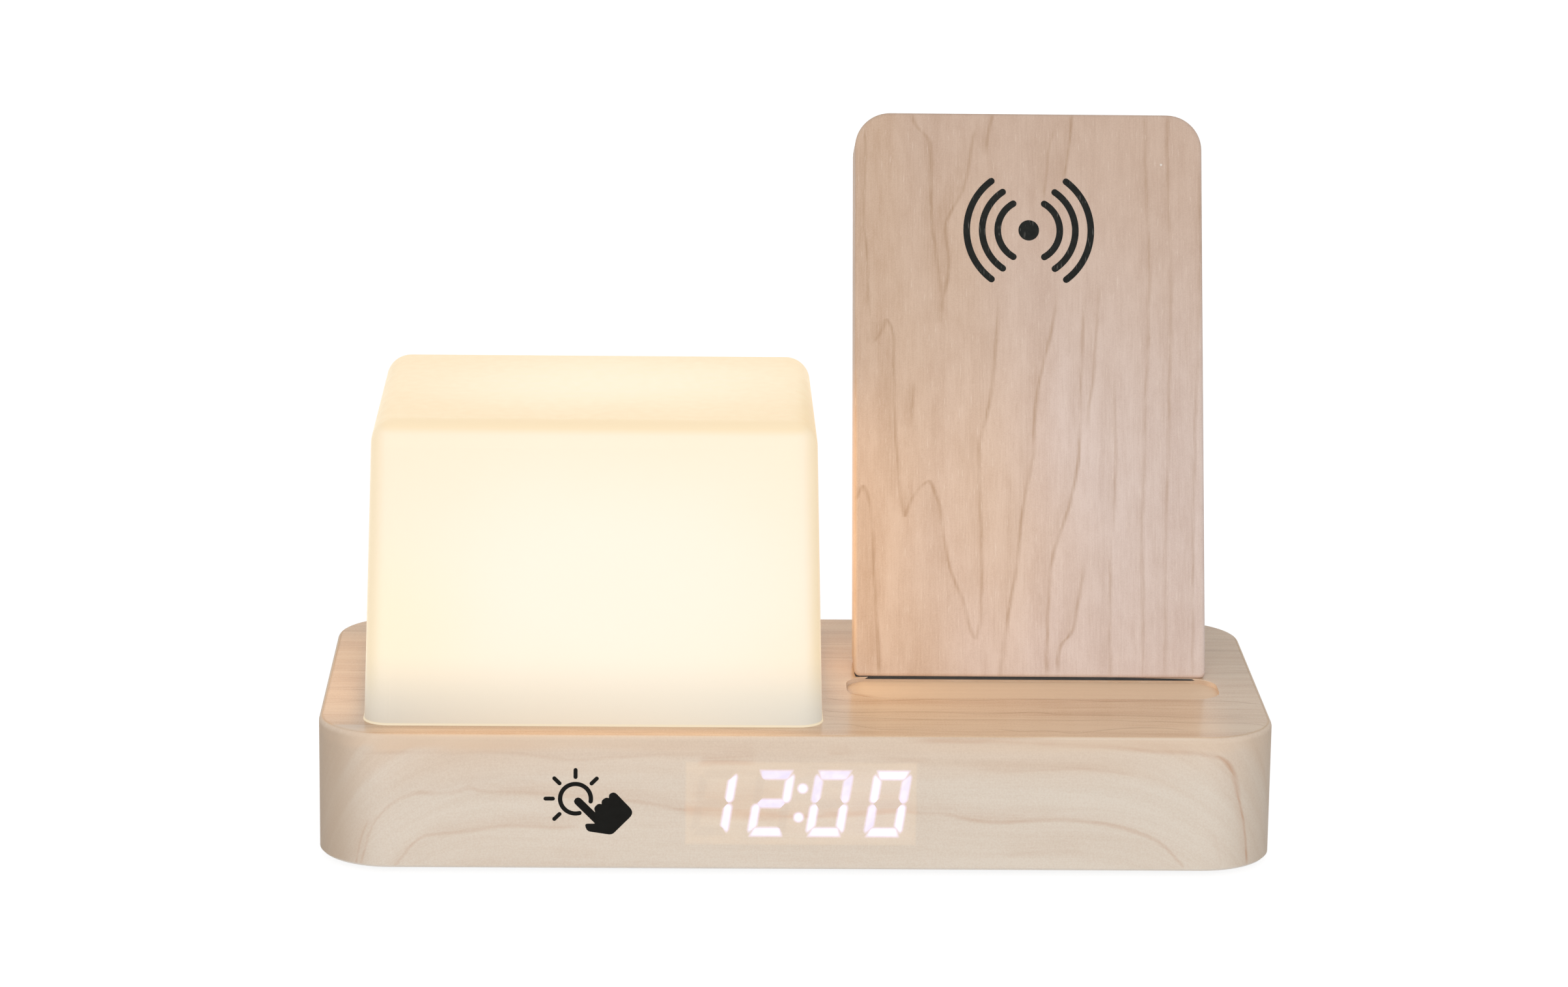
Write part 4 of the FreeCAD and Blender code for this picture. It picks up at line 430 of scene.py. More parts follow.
    # Painted shade makes the top a little darker towards the back and right end; it is paler before the board
    painted_shade_behind = g.mul(g.step(y, -25.0, 20.0), top)
    colour = g.mix(painted_shade_behind, colour, (0.86, 0.84, 0.8), "MULTIPLY")
    colour = g.mix(g.mul(g.step(x, 88.0, 98.0), top), colour, (0.9, 0.95, 0.98), "MULTIPLY")
    before = g.mul(g.mul(g.step(x, 8.0, 20.0), g.step(x, 96.0, 86.0)), g.mul(g.step(y, -2.0, -8.0), top))
    colour = g.mix(before, colour, (1.12, 1.1, 1.06), "MULTIPLY")
    # A pale patch at the front left corner of the top, in the front's tone
    patch = g.mul(g.mul(g.step(x, -91.0, -96.0), g.step(y, -45.2, -46.4)), top)
    colour = g.mix(g.mul(patch, 0.75), colour, (0.7, 0.585, 0.48))
    # The scooped groove is cut through the finish, so it is duller and a little paler; it is painted paler
    # still as painted light against the shade of the hollow, and its wall under the board darker as a painted
    # shadow
    inside = g.step(g.size(g.sub(x, STAND_X)), GROOVE_HALF + 0.4, GROOVE_HALF - 0.1)
    inside = g.mul(inside, g.step(z, BLOCK_TOP - 0.05, BLOCK_TOP - 0.2))
    inside = g.mul(inside, g.step(y, -23.0, -22.2))
    inside = g.mul(inside, g.step(z, 29.6, 29.9))
    outset = g.add(g.mul(g.most(g.sub(-15.0, y), 0.0), 1.3), 12.5)
    inside = g.mul(inside, g.step(g.sub(x, outset), -1.0, 4.0))
    shaded_wall = g.step(ny, -0.4, -0.9)
    groove_tone_and_shade = g.mix(shaded_wall, (0.9, 0.685, 0.495), (0.56, 0.385, 0.25))
    colour = g.mix(g.mul(inside, 0.7), colour, groove_tone_and_shade)
    if not skin:
        worn = g.mul(g.edges(0.0012), g.spread(g.streaks(along, across, 4.0, 9.0, 5.0), 0.4, 0.7, 0.05, 0.3))
        colour = g.mix(worn, colour, (0.86, 0.75, 0.63))
        # Painted highlight along the rounding of the top front edge, towards the right
        edge_highlight = g.mul(g.mul(g.step(nz, 0.45, 0.75), g.step(nz, 0.995, 0.93)), g.step(z, 29.6, 30.2))
        edge_highlight = g.mul(edge_highlight, g.mul(g.step(g.size(g.sub(x, 71.0)), 26.0, 12.0), g.step(y, -49.0, -51.0)))
        colour = g.mix(g.mul(edge_highlight, 0.6), colour, (0.9, 0.745, 0.59))
        # Painted light: the downward facing bottom edge is painted paler, so it shows no shade
        colour = g.mix(g.mul(g.step(nz, -0.2, -0.6), g.step(z, 2.2, 1.8)), colour, (0.95, 0.87, 0.78))
    else:
        # Painted light: a pale patchy rim along the skin's border hides the shade of its seam
        half_width = (SKIN_RIGHT - SKIN_LEFT) / 2.0
        half_height = (SKIN_HIGH - SKIN_LOW) / 2.0
        border_x = g.sub(half_width, g.size(g.sub(x, SKIN_LEFT + half_width)))
        border_z = g.sub(half_height, g.size(g.sub(z, SKIN_LOW + half_height)))
        border = g.least(border_x, border_z)
        patchy = g.spread(g.noise(g.join(g.mul(x, 0.12), 0.0, g.mul(z, 0.3)), 1.0, 2.0), 0.3, 0.7, 0.22, 0.4)
        colour = g.mix(g.mul(g.step(border, 0.0, 0.8), patchy), colour, (0.98, 0.79, 0.6))
        colour = g.mix(g.mul(lines, 0.22), colour, (0.8, 0.44, 0.27))
        # Unlit strokes show a little darker, lit ones glow, and some of those have a cooler tint
        lit = g.attribute("lit")
        dim = g.attribute("dim")
        colour = g.mix(g.mul(dim, 0.13), colour, (0.58, 0.5, 0.43))
        colour = g.mix(g.mul(lit, lit), colour, (0.3, 0.27, 0.33))
        cool = g.attribute("cool")
        cool = g.mul(cool, g.spread(g.noise(g.join(x, z, 4.0), 0.4, 1.0), 0.35, 0.65, 0.45, 1.0))
        bright = g.mix(cool, (0.79, 0.76, 0.86), (0.65, 0.59, 0.78))
        glow = g.mix(g.step(lit, 0.25, 1.0), (0.46, 0.4, 0.66), bright)
        uneven = g.spread(g.noise(g.join(x, z, 0.0), 0.9, 2.0), 0.3, 0.7, 0.95, 1.0)
        stray = g.mul(g.mul(g.step(border, 0.5, 4.0), g.step(x, -14.0, 20.0)), 0.05)
        g.set(Emission_Color=glow, Emission_Strength=g.add(g.mul(lit, uneven), stray))
    rough = g.spread(g.streaks(along, across, 6.0, 20.0, 2.0, 3.0), 0.3, 0.7, 0.15, 0.21)
    rough = g.add(rough, g.mul(inside, 0.4))
    rough = g.add(rough, g.step(nz, 0.999, 0.93, 0.0, 0.5))
    g.set(Base_Color=colour, Roughness=rough, IOR=1.22)
    g.bump(fibres, 0.06, 0.00008)
    return g.material


def board_wood(name):
    g = Shader(name)
    x, y, z = g.place()
    _, ny, nz = g.normal()
    # Coordinates that lean with the board
    left = g.sub(x, STAND_X)
    rear = g.sub(y, STAND_Y)
    rise = g.sub(z, BLOCK_TOP)
    up = g.add(g.mul(rear, math.sin(LEAN)), g.mul(rise, math.cos(LEAN)))
    inward = g.sub(g.mul(rear, math.cos(LEAN)), g.mul(rise, math.sin(LEAN)))
    facing = g.sub(g.mul(ny, math.cos(LEAN)), g.mul(nz, math.sin(LEAN)))
    front = g.step(facing, -0.5, -0.8)
    edge = g.step(g.size(facing), 0.8, 0.5)
    along = up
    across = g.add(left, g.mul(inward, edge))
    depth = g.add(11.0, g.mul(g.step(facing, 0.5, 0.8), 5.0))
    bands, middle, fibres = wood_tone(g, along, across, depth)
    waver = g.mul(g.sub(g.noise(g.join(g.mul(left, 0.06), g.mul(up, 0.07), 3.0), 1.0, 2.0), 0.5), 0.9)
    tremor = g.sub(g.noise(g.join(g.mul(left, 0.4), g.mul(up, 0.35), 6.0), 1.0, 2.0), 0.5)
    waver = g.add(waver, g.mul(tremor, 0.3))
    shifted = g.add(left, waver)
    lines = None
    for points, width, ends in BOARD_LINES:
        mark = g.line(shifted, up, points, width * 1.15, ends, -1.0, 0.36, 7.0)
        lines = mark if lines is None else g.most(lines, mark)
    broken = g.spread(g.noise(g.join(g.mul(left, 0.3), g.mul(up, 0.1), 8.0), 1.0, 2.0), 0.35, 0.6, 0.45, 1.0)
    lines = g.mul(g.mul(lines, broken), front)
    lines = g.mul(lines, g.spread(fibres, -0.15, 0.2, 0.5, 1.0))
    lines = g.mul(lines, g.spread(left, 12.0, 17.0, 1.0, 0.65))
    # Freer lines of the same kind on the back
    rear_rings = g.streaks(up, g.add(left, g.mul(waver, 3.0)), 21.0, 110.0, 16.0, 1.0, 0.4, 0.8)
    rear_rings = g.math("FRACT", g.mul(rear_rings, 7.0))
    rear_lines = g.step(rear_rings, 0.0, 0.12, 1.0, 0.0)
    rear_lines = g.mul(rear_lines, g.step(facing, 0.5, 0.8))
    # The right half is pinker than the left, with a wandering border
    drift = g.sub(g.noise(g.join(g.mul(left, 0.03), g.mul(up, 0.012), 5.0), 1.0, 1.0), 0.5)
    pink = g.step(g.add(left, g.mul(drift, 70.0)), -26.0, 12.0)
    light = g.mix(pink, (0.69, 0.518, 0.402), (0.76, 0.626, 0.564))
    dark = g.mix(pink, (0.535, 0.36, 0.25), (0.6, 0.452, 0.385))
    mottle = g.sub(g.noise(g.join(g.mul(left, 0.35), g.mul(up, 0.12), g.add(depth, 4.0)), 1.0, 3.0, 0.6), 0.5)
    grain = g.sub(g.noise(g.join(x, y, z), 3.6, 2.0, 0.6), 0.5)
    shade = g.add(g.mul(bands, 0.9), g.add(g.mul(middle, 0.45), g.mul(mottle, 0.9)))
    shade = g.add(g.add(shade, g.mul(fibres, 0.7)), g.add(g.mul(grain, 0.95), 0.27))
    colour = g.mix(g.math("MAXIMUM", shade, 0.0, clamp=True), light, dark)
    # Darker and yellower towards the top, most where the wood is pink
    upper_tint = g.mul(g.step(up, 35.0, 125.0), g.spread(pink, 0.0, 1.0, 0.35, 1.0))
    colour = g.mix(upper_tint, colour, (0.865, 0.785, 0.69), "MULTIPLY")
    colour = g.mix(g.mul(g.most(lines, rear_lines), 0.72), colour, (0.4, 0.245, 0.145))
    # Short pale pores
    pores = g.streaks(up, left, 31.0, 3.4, 0.34, 1.0)
    pores = g.step(pores, 0.64, 0.76)
    colour = g.mix(g.mul(pores, 0.3), colour, (0.86, 0.73, 0.63))
    # A small chip in the finish
    chip_x = g.math("POWER", g.sub(left, 30.2), 2.0)
    chip_up = g.math("POWER", g.sub(up, 117.4), 2.0)
    chip = g.math("SQRT", g.add(chip_x, chip_up))
    colour = g.mix(g.mul(g.step(chip, 0.36, 0.1), g.mul(front, 0.7)), colour, (0.93, 0.92, 0.88))
    # Paler low in the middle, speckled on the end grain and worn along the edges
    paler = g.mul(g.step(up, 90.0, 50.0), g.step(up, -5.0, 12.0))
    paler = g.mul(paler, g.step(g.size(g.add(left, 5.0)), 24.0, 5.0))
    colour = g.mix(paler, colour, (1.08, 1.09, 1.11), "MULTIPLY")
    ends = g.step(g.size(nz), 0.85, 0.93)
    speckle = g.noise(g.join(left, inward, 0.0), 3.0, 3.0)
    colour = g.mix(g.mul(ends, g.spread(speckle, 0.35, 0.65, 0.1, 0.4)), colour, (0.5, 0.33, 0.22))
    worn = g.mul(g.edges(0.001), g.spread(g.streaks(up, left, 4.0, 9.0, 5.0), 0.4, 0.7, 0.1, 0.45))
    colour = g.mix(worn, colour, (0.8, 0.68, 0.56))
    rough = g.spread(g.streaks(along, across, 6.0, 20.0, 2.0, 3.0), 0.3, 0.7, 0.42, 0.55)
    g.set(Base_Color=colour, Roughness=rough, IOR=1.45)
    g.bump(fibres, 0.08, 0.00008)
    return g.material


def lamp_opal(name):
    """Lit opal plastic: the light behind it is strongest low in the middle of each face."""
    g = Shader(name)
    x, y, z = g.place()
    nx, _, nz = g.normal()
    spot = g.join(x, y, z)
    drift = g.mul(g.sub(g.noise(spot, 0.02, 2.0), 0.5), 0.5)
    sideways = g.mul(g.sub(x, LAMP[0] + 4.0), 1.0 / 52.0)
    rise = g.mul(g.sub(z, 62.0), 1.0 / 34.0)
    near = g.add(g.math("SQRT", g.add(g.mul(sideways, sideways), g.mul(rise, rise))), drift)
    centre = g.step(near, 1.35, 0.2)
    foot = g.step(z, 48.0, 31.5)
    cap = g.step(nz, 0.48, 0.8)
    rear = g.mul(g.sub(y, LAMP[1] + 4.0), 1.0 / 38.0)
    flank = g.math("SQRT", g.add(g.mul(g.mul(sideways, sideways), 0.8), g.mul(rear, rear)))
    middle = g.step(g.add(flank, drift), 1.1, 0.1)
    turn = g.mul(g.step(g.size(nx), 0.3, 0.85), g.step(g.size(nx), 1.0, 0.9, 0.4, 1.0))
    glow = g.mix(centre, (0.56, 0.44, 0.3), (0.56, 0.5, 0.405))
    low_left = g.mul(g.step(x, -60.0, -94.0), g.step(g.size(g.sub(z, 55.0)), 26.0, 0.0))
    glow = g.mix(g.mul(low_left, 0.4), glow, (0.6, 0.51, 0.3))
    top_glow = g.mix(middle, (0.53, 0.385, 0.19), (0.56, 0.475, 0.31))
    glow = g.mix(cap, glow, top_glow)
    glow = g.mix(g.mul(turn, 0.8), glow, (0.495, 0.375, 0.195))
    corners = g.least(g.add(0.6, g.mul(g.mul(sideways, sideways), 0.5)), 1.0)
    low_glow = g.mix(g.step(x, -60.0, -5.0), (0.27, 0.245, 0.205), (0.28, 0.285, 0.262))
    glow = g.mix(g.mul(foot, corners), glow, low_glow)
    # A painted highlight: a thin bright line round the foot
    glow = g.mix(g.step(z, 31.75, 31.45), glow, (0.43, 0.345, 0.215))
    speck = g.step(g.cells(spot, 0.06), 0.012, 0.006)
    colour = g.mix(g.mul(speck, 0.4), (0.5, 0.465, 0.4), (0.35, 0.28, 0.2))
    rough = g.spread(g.noise(spot, 0.4, 3.0), 0.3, 0.7, 0.36, 0.46)
    g.set(Base_Color=colour, Roughness=rough, Specular_IOR_Level=0.25)
    g.set(Emission_Color=glow, Emission_Strength=1.03)
    g.bump(g.noise(spot, 3.0, 2.0), 0.05, 0.00005)
    return g.material


def moulded(name, colour, rough=0.5, change=0.12, grain=6.0, relief=0.15):
    """Moulded plastic or rubber: mottled colour, eroded texture and paler worn edges."""
    g = Shader(name)
    x, y, z = g.place()
    spot = g.join(x, y, z)
    cloud = g.noise(spot, 0.12, 3.0)
    fine = g.noise(spot, grain, 2.0, 0.6)
    dark = tuple(c * (1.0 - change) for c in colour)
    pale = tuple(min(c * (1.0 + change), 1.0) for c in colour)
    tone = g.mix(g.spread(cloud, 0.3, 0.7, 0.0, 1.0), dark, pale)
    tone = g.mix(g.spread(fine, 0.4, 0.8, 0.0, 0.18), tone, pale)
    worn = g.mul(g.edges(0.0004), g.spread(g.noise(spot, 0.6, 2.0), 0.4, 0.7, 0.0, 0.6))
    edge = tuple(min(c * 1.5 + 0.05, 1.0) for c in colour)
    tone = g.mix(worn, tone, edge)
    g.set(Base_Color=tone, Roughness=g.spread(fine, 0.3, 0.7, rough - 0.06, rough + 0.08))
    g.bump(fine, relief, 0.00006)
    return g.material


def metal(name, colour, rough=0.3, grain=4.0, stretch=(1.0, 1.0, 1.0)):
    """Plated or brushed metal with fine scratches."""
    g = Shader(name)
    x, y, z = g.place()
    spot = g.join(g.mul(x, stretch[0]), g.mul(y, stretch[1]), g.mul(z, stretch[2]))
    scratch = g.noise(spot, grain, 4.0, 0.65)
    cloud = g.noise(g.join(x, y, z), 0.25, 2.0)
    dark = tuple(c * 0.8 for c in colour)
    tone = g.mix(g.spread(scratch, 0.35, 0.7, 0.0, 0.7), colour, dark)
    worn = g.mul(g.edges(0.0002), 0.5)
    tone = g.mix(worn, tone, tuple(min(c * 1.25, 1.0) for c in colour))
    roughness = g.add(g.spread(scratch, 0.3, 0.7, rough - 0.06, rough + 0.1), g.mul(g.sub(cloud, 0.5), 0.1))
    g.set(Base_Color=tone, Metallic=1.0, Roughness=roughness)
    g.bump(scratch, 0.08, 0.00004)
    return g.material


def circuit(name, colour, track, pad):
    """Circuit board: lacquer over tracks, with tinned pads."""
    g = Shader(name)
    x, y, z = g.place()
    spot = g.join(x, y, g.mul(z, 0.6))
    cells = g.cells(spot, 0.35)
    lane_x = g.math("FRACT", g.mul(g.add(x, g.mul(g.noise(spot, 0.12, 0.0), 6.0)), 0.5))
    lane = g.step(g.size(g.sub(lane_x, 0.5)), 0.14, 0.1)
    region = g.step(g.noise(spot, 0.09, 1.0), 0.46, 0.5)
    tracks = g.mul(lane, region)
    pads = g.step(cells, 0.16, 0.13)
    tone = g.mix(g.mul(tracks, 0.7), colour, track)
    tone = g.mix(pads, tone, pad)
    rough = g.spread(g.noise(spot, 2.0, 2.0), 0.3, 0.7, 0.28, 0.42)
    g.set(Base_Color=tone, Metallic=g.mul(pads, 0.8), Roughness=rough)
    g.bump(g.add(g.mul(tracks, 0.6), pads), 0.2, 0.00005)
    return g.material


def woven_lead(name, colour):
    """Thin insulated wires: soft gloss and a faint wave."""
    g = Shader(name)
    x, y, z = g.place()
    spot = g.join(x, y, z)
    wave = g.noise(spot, 1.6, 2.0)
    tone = g.mix(g.spread(wave, 0.3, 0.7, 0.0, 1.0), tuple(c * 0.8 for c in colour), colour)
    g.set(Base_Color=tone, Roughness=g.spread(wave, 0.3, 0.7, 0.35, 0.5))
    g.bump(wave, 0.1, 0.0001)
    return g.material


def ink(name):
    """Black print on the wood: slightly uneven, with fine pale scratches along the grain."""
    g = Shader(name)
    x, y, z = g.place()
    spot = g.join(x, y, z)
    cloud = g.noise(spot, 0.8, 3.0)
    tone = g.mix(g.spread(cloud, 0.3, 0.7, 0.0, 1.0), (0.009, 0.01, 0.009), (0.019, 0.02, 0.018))
    rise = g.add(g.mul(y, math.sin(LEAN)), g.mul(z, math.cos(LEAN)))
    scratch = g.streaks(g.add(rise, g.mul(x, 0.12)), x, 3.0, 3.4, 0.22, 1.0)
    scratch = g.mul(g.step(scratch, 0.67, 0.74), g.step(z, 60.0, 70.0))
    tone = g.mix(g.step(z, 60.0, 50.0), tone, (0.0045, 0.0042, 0.0032))
    tone = g.mix(g.mul(scratch, 0.6), tone, (0.36, 0.35, 0.32))
    g.set(Base_Color=tone, Roughness=g.spread(cloud, 0.3, 0.7, 0.55, 0.7), Specular_IOR_Level=0.15)
    g.bump(g.noise(spot, 6.0, 2.0), 0.1, 0.00003)
    return g.material


MATERIALS = [
    base_wood("base_wood"),
    board_wood("stand_wood"),
    base_wood("display_skin", skin=True),
    moulded("dark_plastic", (0.03, 0.029, 0.028), 0.48),
    moulded("sand_plastic", (0.62, 0.5, 0.39), 0.5, 0.05),
    moulded("module_plastic", (0.045, 0.045, 0.048), 0.4),
    moulded("foot_rubber", (0.035, 0.034, 0.033), 0.75, 0.2, 3.0, 0.3),
    metal("screw_steel", (0.62, 0.61, 0.59), 0.32, 6.0),
    circuit("board_green", (0.012, 0.11, 0.04), (0.03, 0.2, 0.075), (0.7, 0.69, 0.66)),
    circuit("board_white", (0.74, 0.74, 0.72), (0.62, 0.62, 0.6), (0.7, 0.69, 0.66)),
    moulded("led_package", (0.8, 0.74, 0.42), 0.35, 0.1, 5.0, 0.1),
    woven_lead("ribbon_film", (0.7, 0.69, 0.66)),
    metal("copper", (0.78, 0.36, 0.2), 0.34, 5.0),
    woven_lead("lead_sleeve", (0.42, 0.05, 0.035)),
    moulded("chip_case", (0.02, 0.02, 0.021), 0.45, 0.2, 9.0, 0.2),
    metal("capacitor_can", (0.66, 0.66, 0.67), 0.28, 3.0, (1.0, 1.0, 0.1)),
    metal("cell_steel", (0.7, 0.69, 0.66), 0.22, 5.0, (1.0, 0.1, 1.0)),
    moulded("button_plastic", (0.055, 0.053, 0.051), 0.42),
    metal("socket_steel", (0.6, 0.6, 0.6), 0.3, 5.0),
    lamp_opal("lamp_opal"),
    moulded("tray_plastic", (0.82, 0.81, 0.78), 0.45, 0.05),
    moulded("ferrite", (0.05, 0.047, 0.045), 0.6, 0.25, 4.0, 0.3),
]
SLOTS = {material.name.split(".")[0]: material for material in MATERIALS}

for node in frame["nodes"].values():
    for slot in node.material_slots:
        key = slot.material.name.split(".")[0]
        slot.material = SLOTS[key]

ink_black = ink("sign_ink")


def place_piece(name, data, material, body="clock"):
    """Puts a piece into the scene, on its body and with its slot."""
    piece = bpy.data.objects.new(name, data)
    bpy.context.scene.collection.objects.link(piece)
    data.materials.append(material)
    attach(piece, body)
    return piece


def bead(name, centre, size, corner, level, radius, material):
    """A round bead that follows a rounded rectangle."""
    half_x = size[0] / 2.0 - corner
    half_y = size[1] / 2.0 - corner
    points = []
    for sx, sy, start in ((1, 1, 0), (-1, 1, 90), (-1, -1, 180), (1, -1, 270)):
        points += arc_points(centre[0] + sx * half_x, centre[1] + sy * half_y, corner, start, start + 90, 8)
    curve = bpy.data.curves.new(name, "CURVE")
    curve.dimensions = "3D"
    curve.bevel_depth = radius * 0.001
    curve.bevel_resolution = 3
    spline = curve.splines.new("POLY")
    spline.points.add(len(points) - 1)
    for point, (a, b) in zip(spline.points, points):
        point.co = (*metres(a, b, level), 1.0)
    spline.use_cyclic_u = True
    return place_piece(name, curve, material)


def flat_piece(name, loops, to_place, low, high, material):
    """Thin raised shapes on a face: each loop is a closed outline in millimetres."""
    mesh = bpy.data.meshes.new(name)
    work = bmesh.new()
    for loop in loops:
        upper = [work.verts.new(to_place(a, b, high)) for a, b in loop]
        lower = [work.verts.new(to_place(a, b, low)) for a, b in loop]
        work.faces.new(upper)
        count = len(loop)
        for i in range(count):
            j = (i + 1) % count
            work.faces.new((upper[i], lower[i], lower[j], upper[j]))
    bmesh.ops.recalc_face_normals(work, faces=work.faces[:])
    work.to_mesh(mesh)
    work.free()
    return place_piece(name, mesh, material)


def around(x, z, radius, angle):
    """The point of a circle at an angle in degrees."""
    way = math.radians(angle)
    return x + radius * math.cos(way), z + radius * math.sin(way)


def arc_points(x, z, radius, start, stop, count=24):
    return [around(x, z, radius, start + (stop - start) * i / count) for i in range(count + 1)]


def disc(x, z, radius, count=48):
    return arc_points(x, z, radius, 0.0, 360.0, count)[:-1]


def arc_band(x, z, radius, stroke, start, stop, count=40):
    """A bowed stroke with round ends."""
    half = stroke / 2.0
    outer = arc_points(x, z, radius + half, start, stop, count)
    inner = arc_points(x, z, radius - half, stop, start, count)
    end = arc_points(*around(x, z, radius, stop), half, stop, stop + 180.0, 10)[1:-1]
    begin = arc_points(*around(x, z, radius, start), half, start + 180.0, start + 360.0, 10)[1:-1]
    return outer + end + inner + begin


def capsule(x0, z0, x1, z1, stroke):
    """A straight stroke with round ends."""
    way = math.degrees(math.atan2(z1 - z0, x1 - x0))
    end = arc_points(x1, z1, stroke / 2.0, way - 90.0, way + 90.0, 12)
    begin = arc_points(x0, z0, stroke / 2.0, way + 90.0, way + 270.0, 12)
    return end + begin


def rounded(points, radii, count=6):
    """A closed outline whose corners are rounded off by quadratic curves."""
    result = []
    total = len(points)
    for i, radius in enumerate(radii):
        before = Vector(points[i - 1])
        corner = Vector(points[i])
        after = Vector(points[(i + 1) % total])
        start = corner + (before - corner).normalized() * min(radius, (before - corner).length * 0.49)
        stop = corner + (after - corner).normalized() * min(radius, (after - corner).length * 0.49)
        for k in range(count + 1):
            t = k / count
            point = start * (1 - t) ** 2 + corner * 2 * t * (1 - t) + stop * t ** 2
            result.append((point.x, point.y))
    return result


# Prints lie on the wood, with their lower side just under its face
PRINT_LOW = -0.02
PRINT_HIGH = 0.03

# Touch sign: a small sun and a pointing hand
SUN = (-47.86, 16.96)
SUN_RADIUS = 3.32
SUN_STROKE = 0.95
RAY_START = 4.88
RAY_END = 6.46
RAY_STROKE = 0.88
sun_loops = [arc_band(*SUN, SUN_RADIUS, SUN_STROKE, -10.0, 285.0, 64)]
for angle in (45, 90, 135, 180, 225):
    near = around(*SUN, RAY_START, angle)
    far = around(*SUN, RAY_END, angle)
    sun_loops.append(capsule(*near, *far, RAY_STROKE))
flat_piece("touch_sign_sun", sun_loops, on_front, PRINT_LOW, PRINT_HIGH, ink_black)

# Corners of the hand from the fingertip round, each with the radius that rounds it off
HAND_PLACE = (-47.97, 16.96)
HAND = [
    (0.12, 0.2, 0.75), (1.00, 0.34, 0.75), (4.4, -3.1, 0.25), (4.05, -2.05, 0.55), (5.00, -1.05, 0.6),
    (5.75, -1.2, 0.12), (5.75, -0.3, 0.6), (6.75, 0.35, 0.6), (7.3, 0.15, 0.12), (7.35, 1.15, 0.65),
    (8.55, 1.6, 0.8), (12.9, -3.05, 1.6), (8.00, -8.1, 0.8), (2.6, -7.3, 0.8), (2.05, -5.6, 0.75),
    (4.38, -5.58, 0.3), (-0.36, -0.78, 0.75),
]
hand_corners = [(HAND_PLACE[0] + a, HAND_PLACE[1] + b) for a, b, radius in HAND]
hand_loop = rounded(hand_corners, [radius for a, b, radius in HAND])
flat_piece("touch_sign_hand", [hand_loop], on_front, PRINT_LOW, PRINT_HIGH, ink_black)

# Wireless sign: a dot between three pairs of arcs
SIGNAL = (0.0, 102.05)
SIGNAL_DOT = 2.35
SIGNAL_STROKE = 1.52
SIGNAL_ARCS = ((7.06, 60.0), (10.6, 56.0), (14.12, 53.0))
signal_loops = [disc(*SIGNAL, SIGNAL_DOT)]
for radius, half_angle in SIGNAL_ARCS:
    for middle in (0.0, 180.0):
        loop = arc_band(*SIGNAL, radius, SIGNAL_STROKE, middle - half_angle, middle + half_angle)
        signal_loops.append(loop)
flat_piece("wireless_sign", signal_loops, on_slope, PRINT_LOW, PRINT_HIGH, ink_black)

# Thin veneer over the display
SKIN_THICKNESS = 0.55
SKIN_PROUD = 0.008
SKIN_CORNER = 0.3
skin_low = [(SKIN_LEFT, SKIN_LOW), (SKIN_RIGHT, SKIN_LOW)]
skin_high = [(SKIN_RIGHT, SKIN_HIGH), (SKIN_LEFT, SKIN_HIGH)]
skin_loop = rounded(skin_low + skin_high, [SKIN_CORNER] * 4)
display_skin = SLOTS["display_skin"]
veneer = flat_piece("display_veneer", [skin_loop], on_front, -SKIN_THICKNESS, SKIN_PROUD, display_skin)
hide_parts("display_window")

# Dark rubber strip under the board, round at its left end and square at its right: a dark piece that stands
# in for the shadow in the gap under the board
STRIP_HALF = 39.45
STRIP_CORNER = 1.5
STRIP_SHOWN = 0.26
STRIP_END = 0.3
strip_loop = arc_points(STRIP_CORNER - STRIP_HALF, STRIP_CORNER - STRIP_SHOWN, STRIP_CORNER, 180.0, 270.0, 8)
strip_loop += arc_points(STRIP_HALF - STRIP_END, STRIP_END - STRIP_SHOWN, STRIP_END, 270.0, 360.0, 4)
flat_piece("board_gap_shadow_strip", [strip_loop], on_slope, -0.9, -0.5, SLOTS["foot_rubber"])

# Thin glowing opal bead round the lamp's foot, a painted highlight where the foot catches the light
BEAD_CORNER = 5.4
BEAD_RADIUS = 0.24
bead("lamp_foot_highlight_bead", LAMP, LAMP_FOOT, BEAD_CORNER, BLOCK_TOP, BEAD_RADIUS, SLOTS["lamp_opal"])

# The rear panel's outer face, and the middles of what is printed over
_, panel_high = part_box("rear_panel")
PANEL_FACE = panel_high.y * 1000.0


def on_panel(x, z, lift):
    return metres(x, PANEL_FACE + lift, z)


def button_middle(name):
    low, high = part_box(name)
    return (low.x + high.x) * 500.0, (low.z + high.z) * 500.0


# Prints over the buttons and the socket: two arrow heads, a switch sign and a plug
PANEL_SIGN_RISE = 6.1
PANEL_STROKE = 0.32
PLUG_STROKE = 0.3
print_white = moulded("panel_print", (0.66, 0.66, 0.64), 0.6, 0.06, 8.0, 0.1)
up_x, key_z = button_middle("up_button")
down_x = button_middle("down_button")[0]
set_x = button_middle("set_button")[0]
socket_x = button_middle("power_socket")[0]
sign_z = key_z + PANEL_SIGN_RISE
signs = [
    rounded([(up_x - 1.1, sign_z - 0.8), (up_x + 1.1, sign_z - 0.8), (up_x, sign_z + 1.0)], [0.25] * 3, 3),
    rounded([(down_x - 1.1, sign_z + 0.8), (down_x, sign_z - 1.0), (down_x + 1.1, sign_z + 0.8)],
            [0.25] * 3, 3),
    arc_band(set_x, sign_z, 0.95, PANEL_STROKE, 120.0, 420.0, 24),
    capsule(set_x, sign_z + 0.15, set_x, sign_z + 1.25, PANEL_STROKE),
    capsule(socket_x - 1.7, sign_z, socket_x - 0.7, sign_z, PLUG_STROKE),
    arc_band(socket_x, sign_z, 0.75, PLUG_STROKE, 100.0, 260.0, 16),
    capsule(socket_x, sign_z + 0.4, socket_x + 0.9, sign_z + 0.4, PLUG_STROKE),
    capsule(socket_x, sign_z - 0.4, socket_x + 0.9, sign_z - 0.4, PLUG_STROKE),
]
flat_piece("panel_signs", signs, on_panel, -0.02, 0.02, print_white)

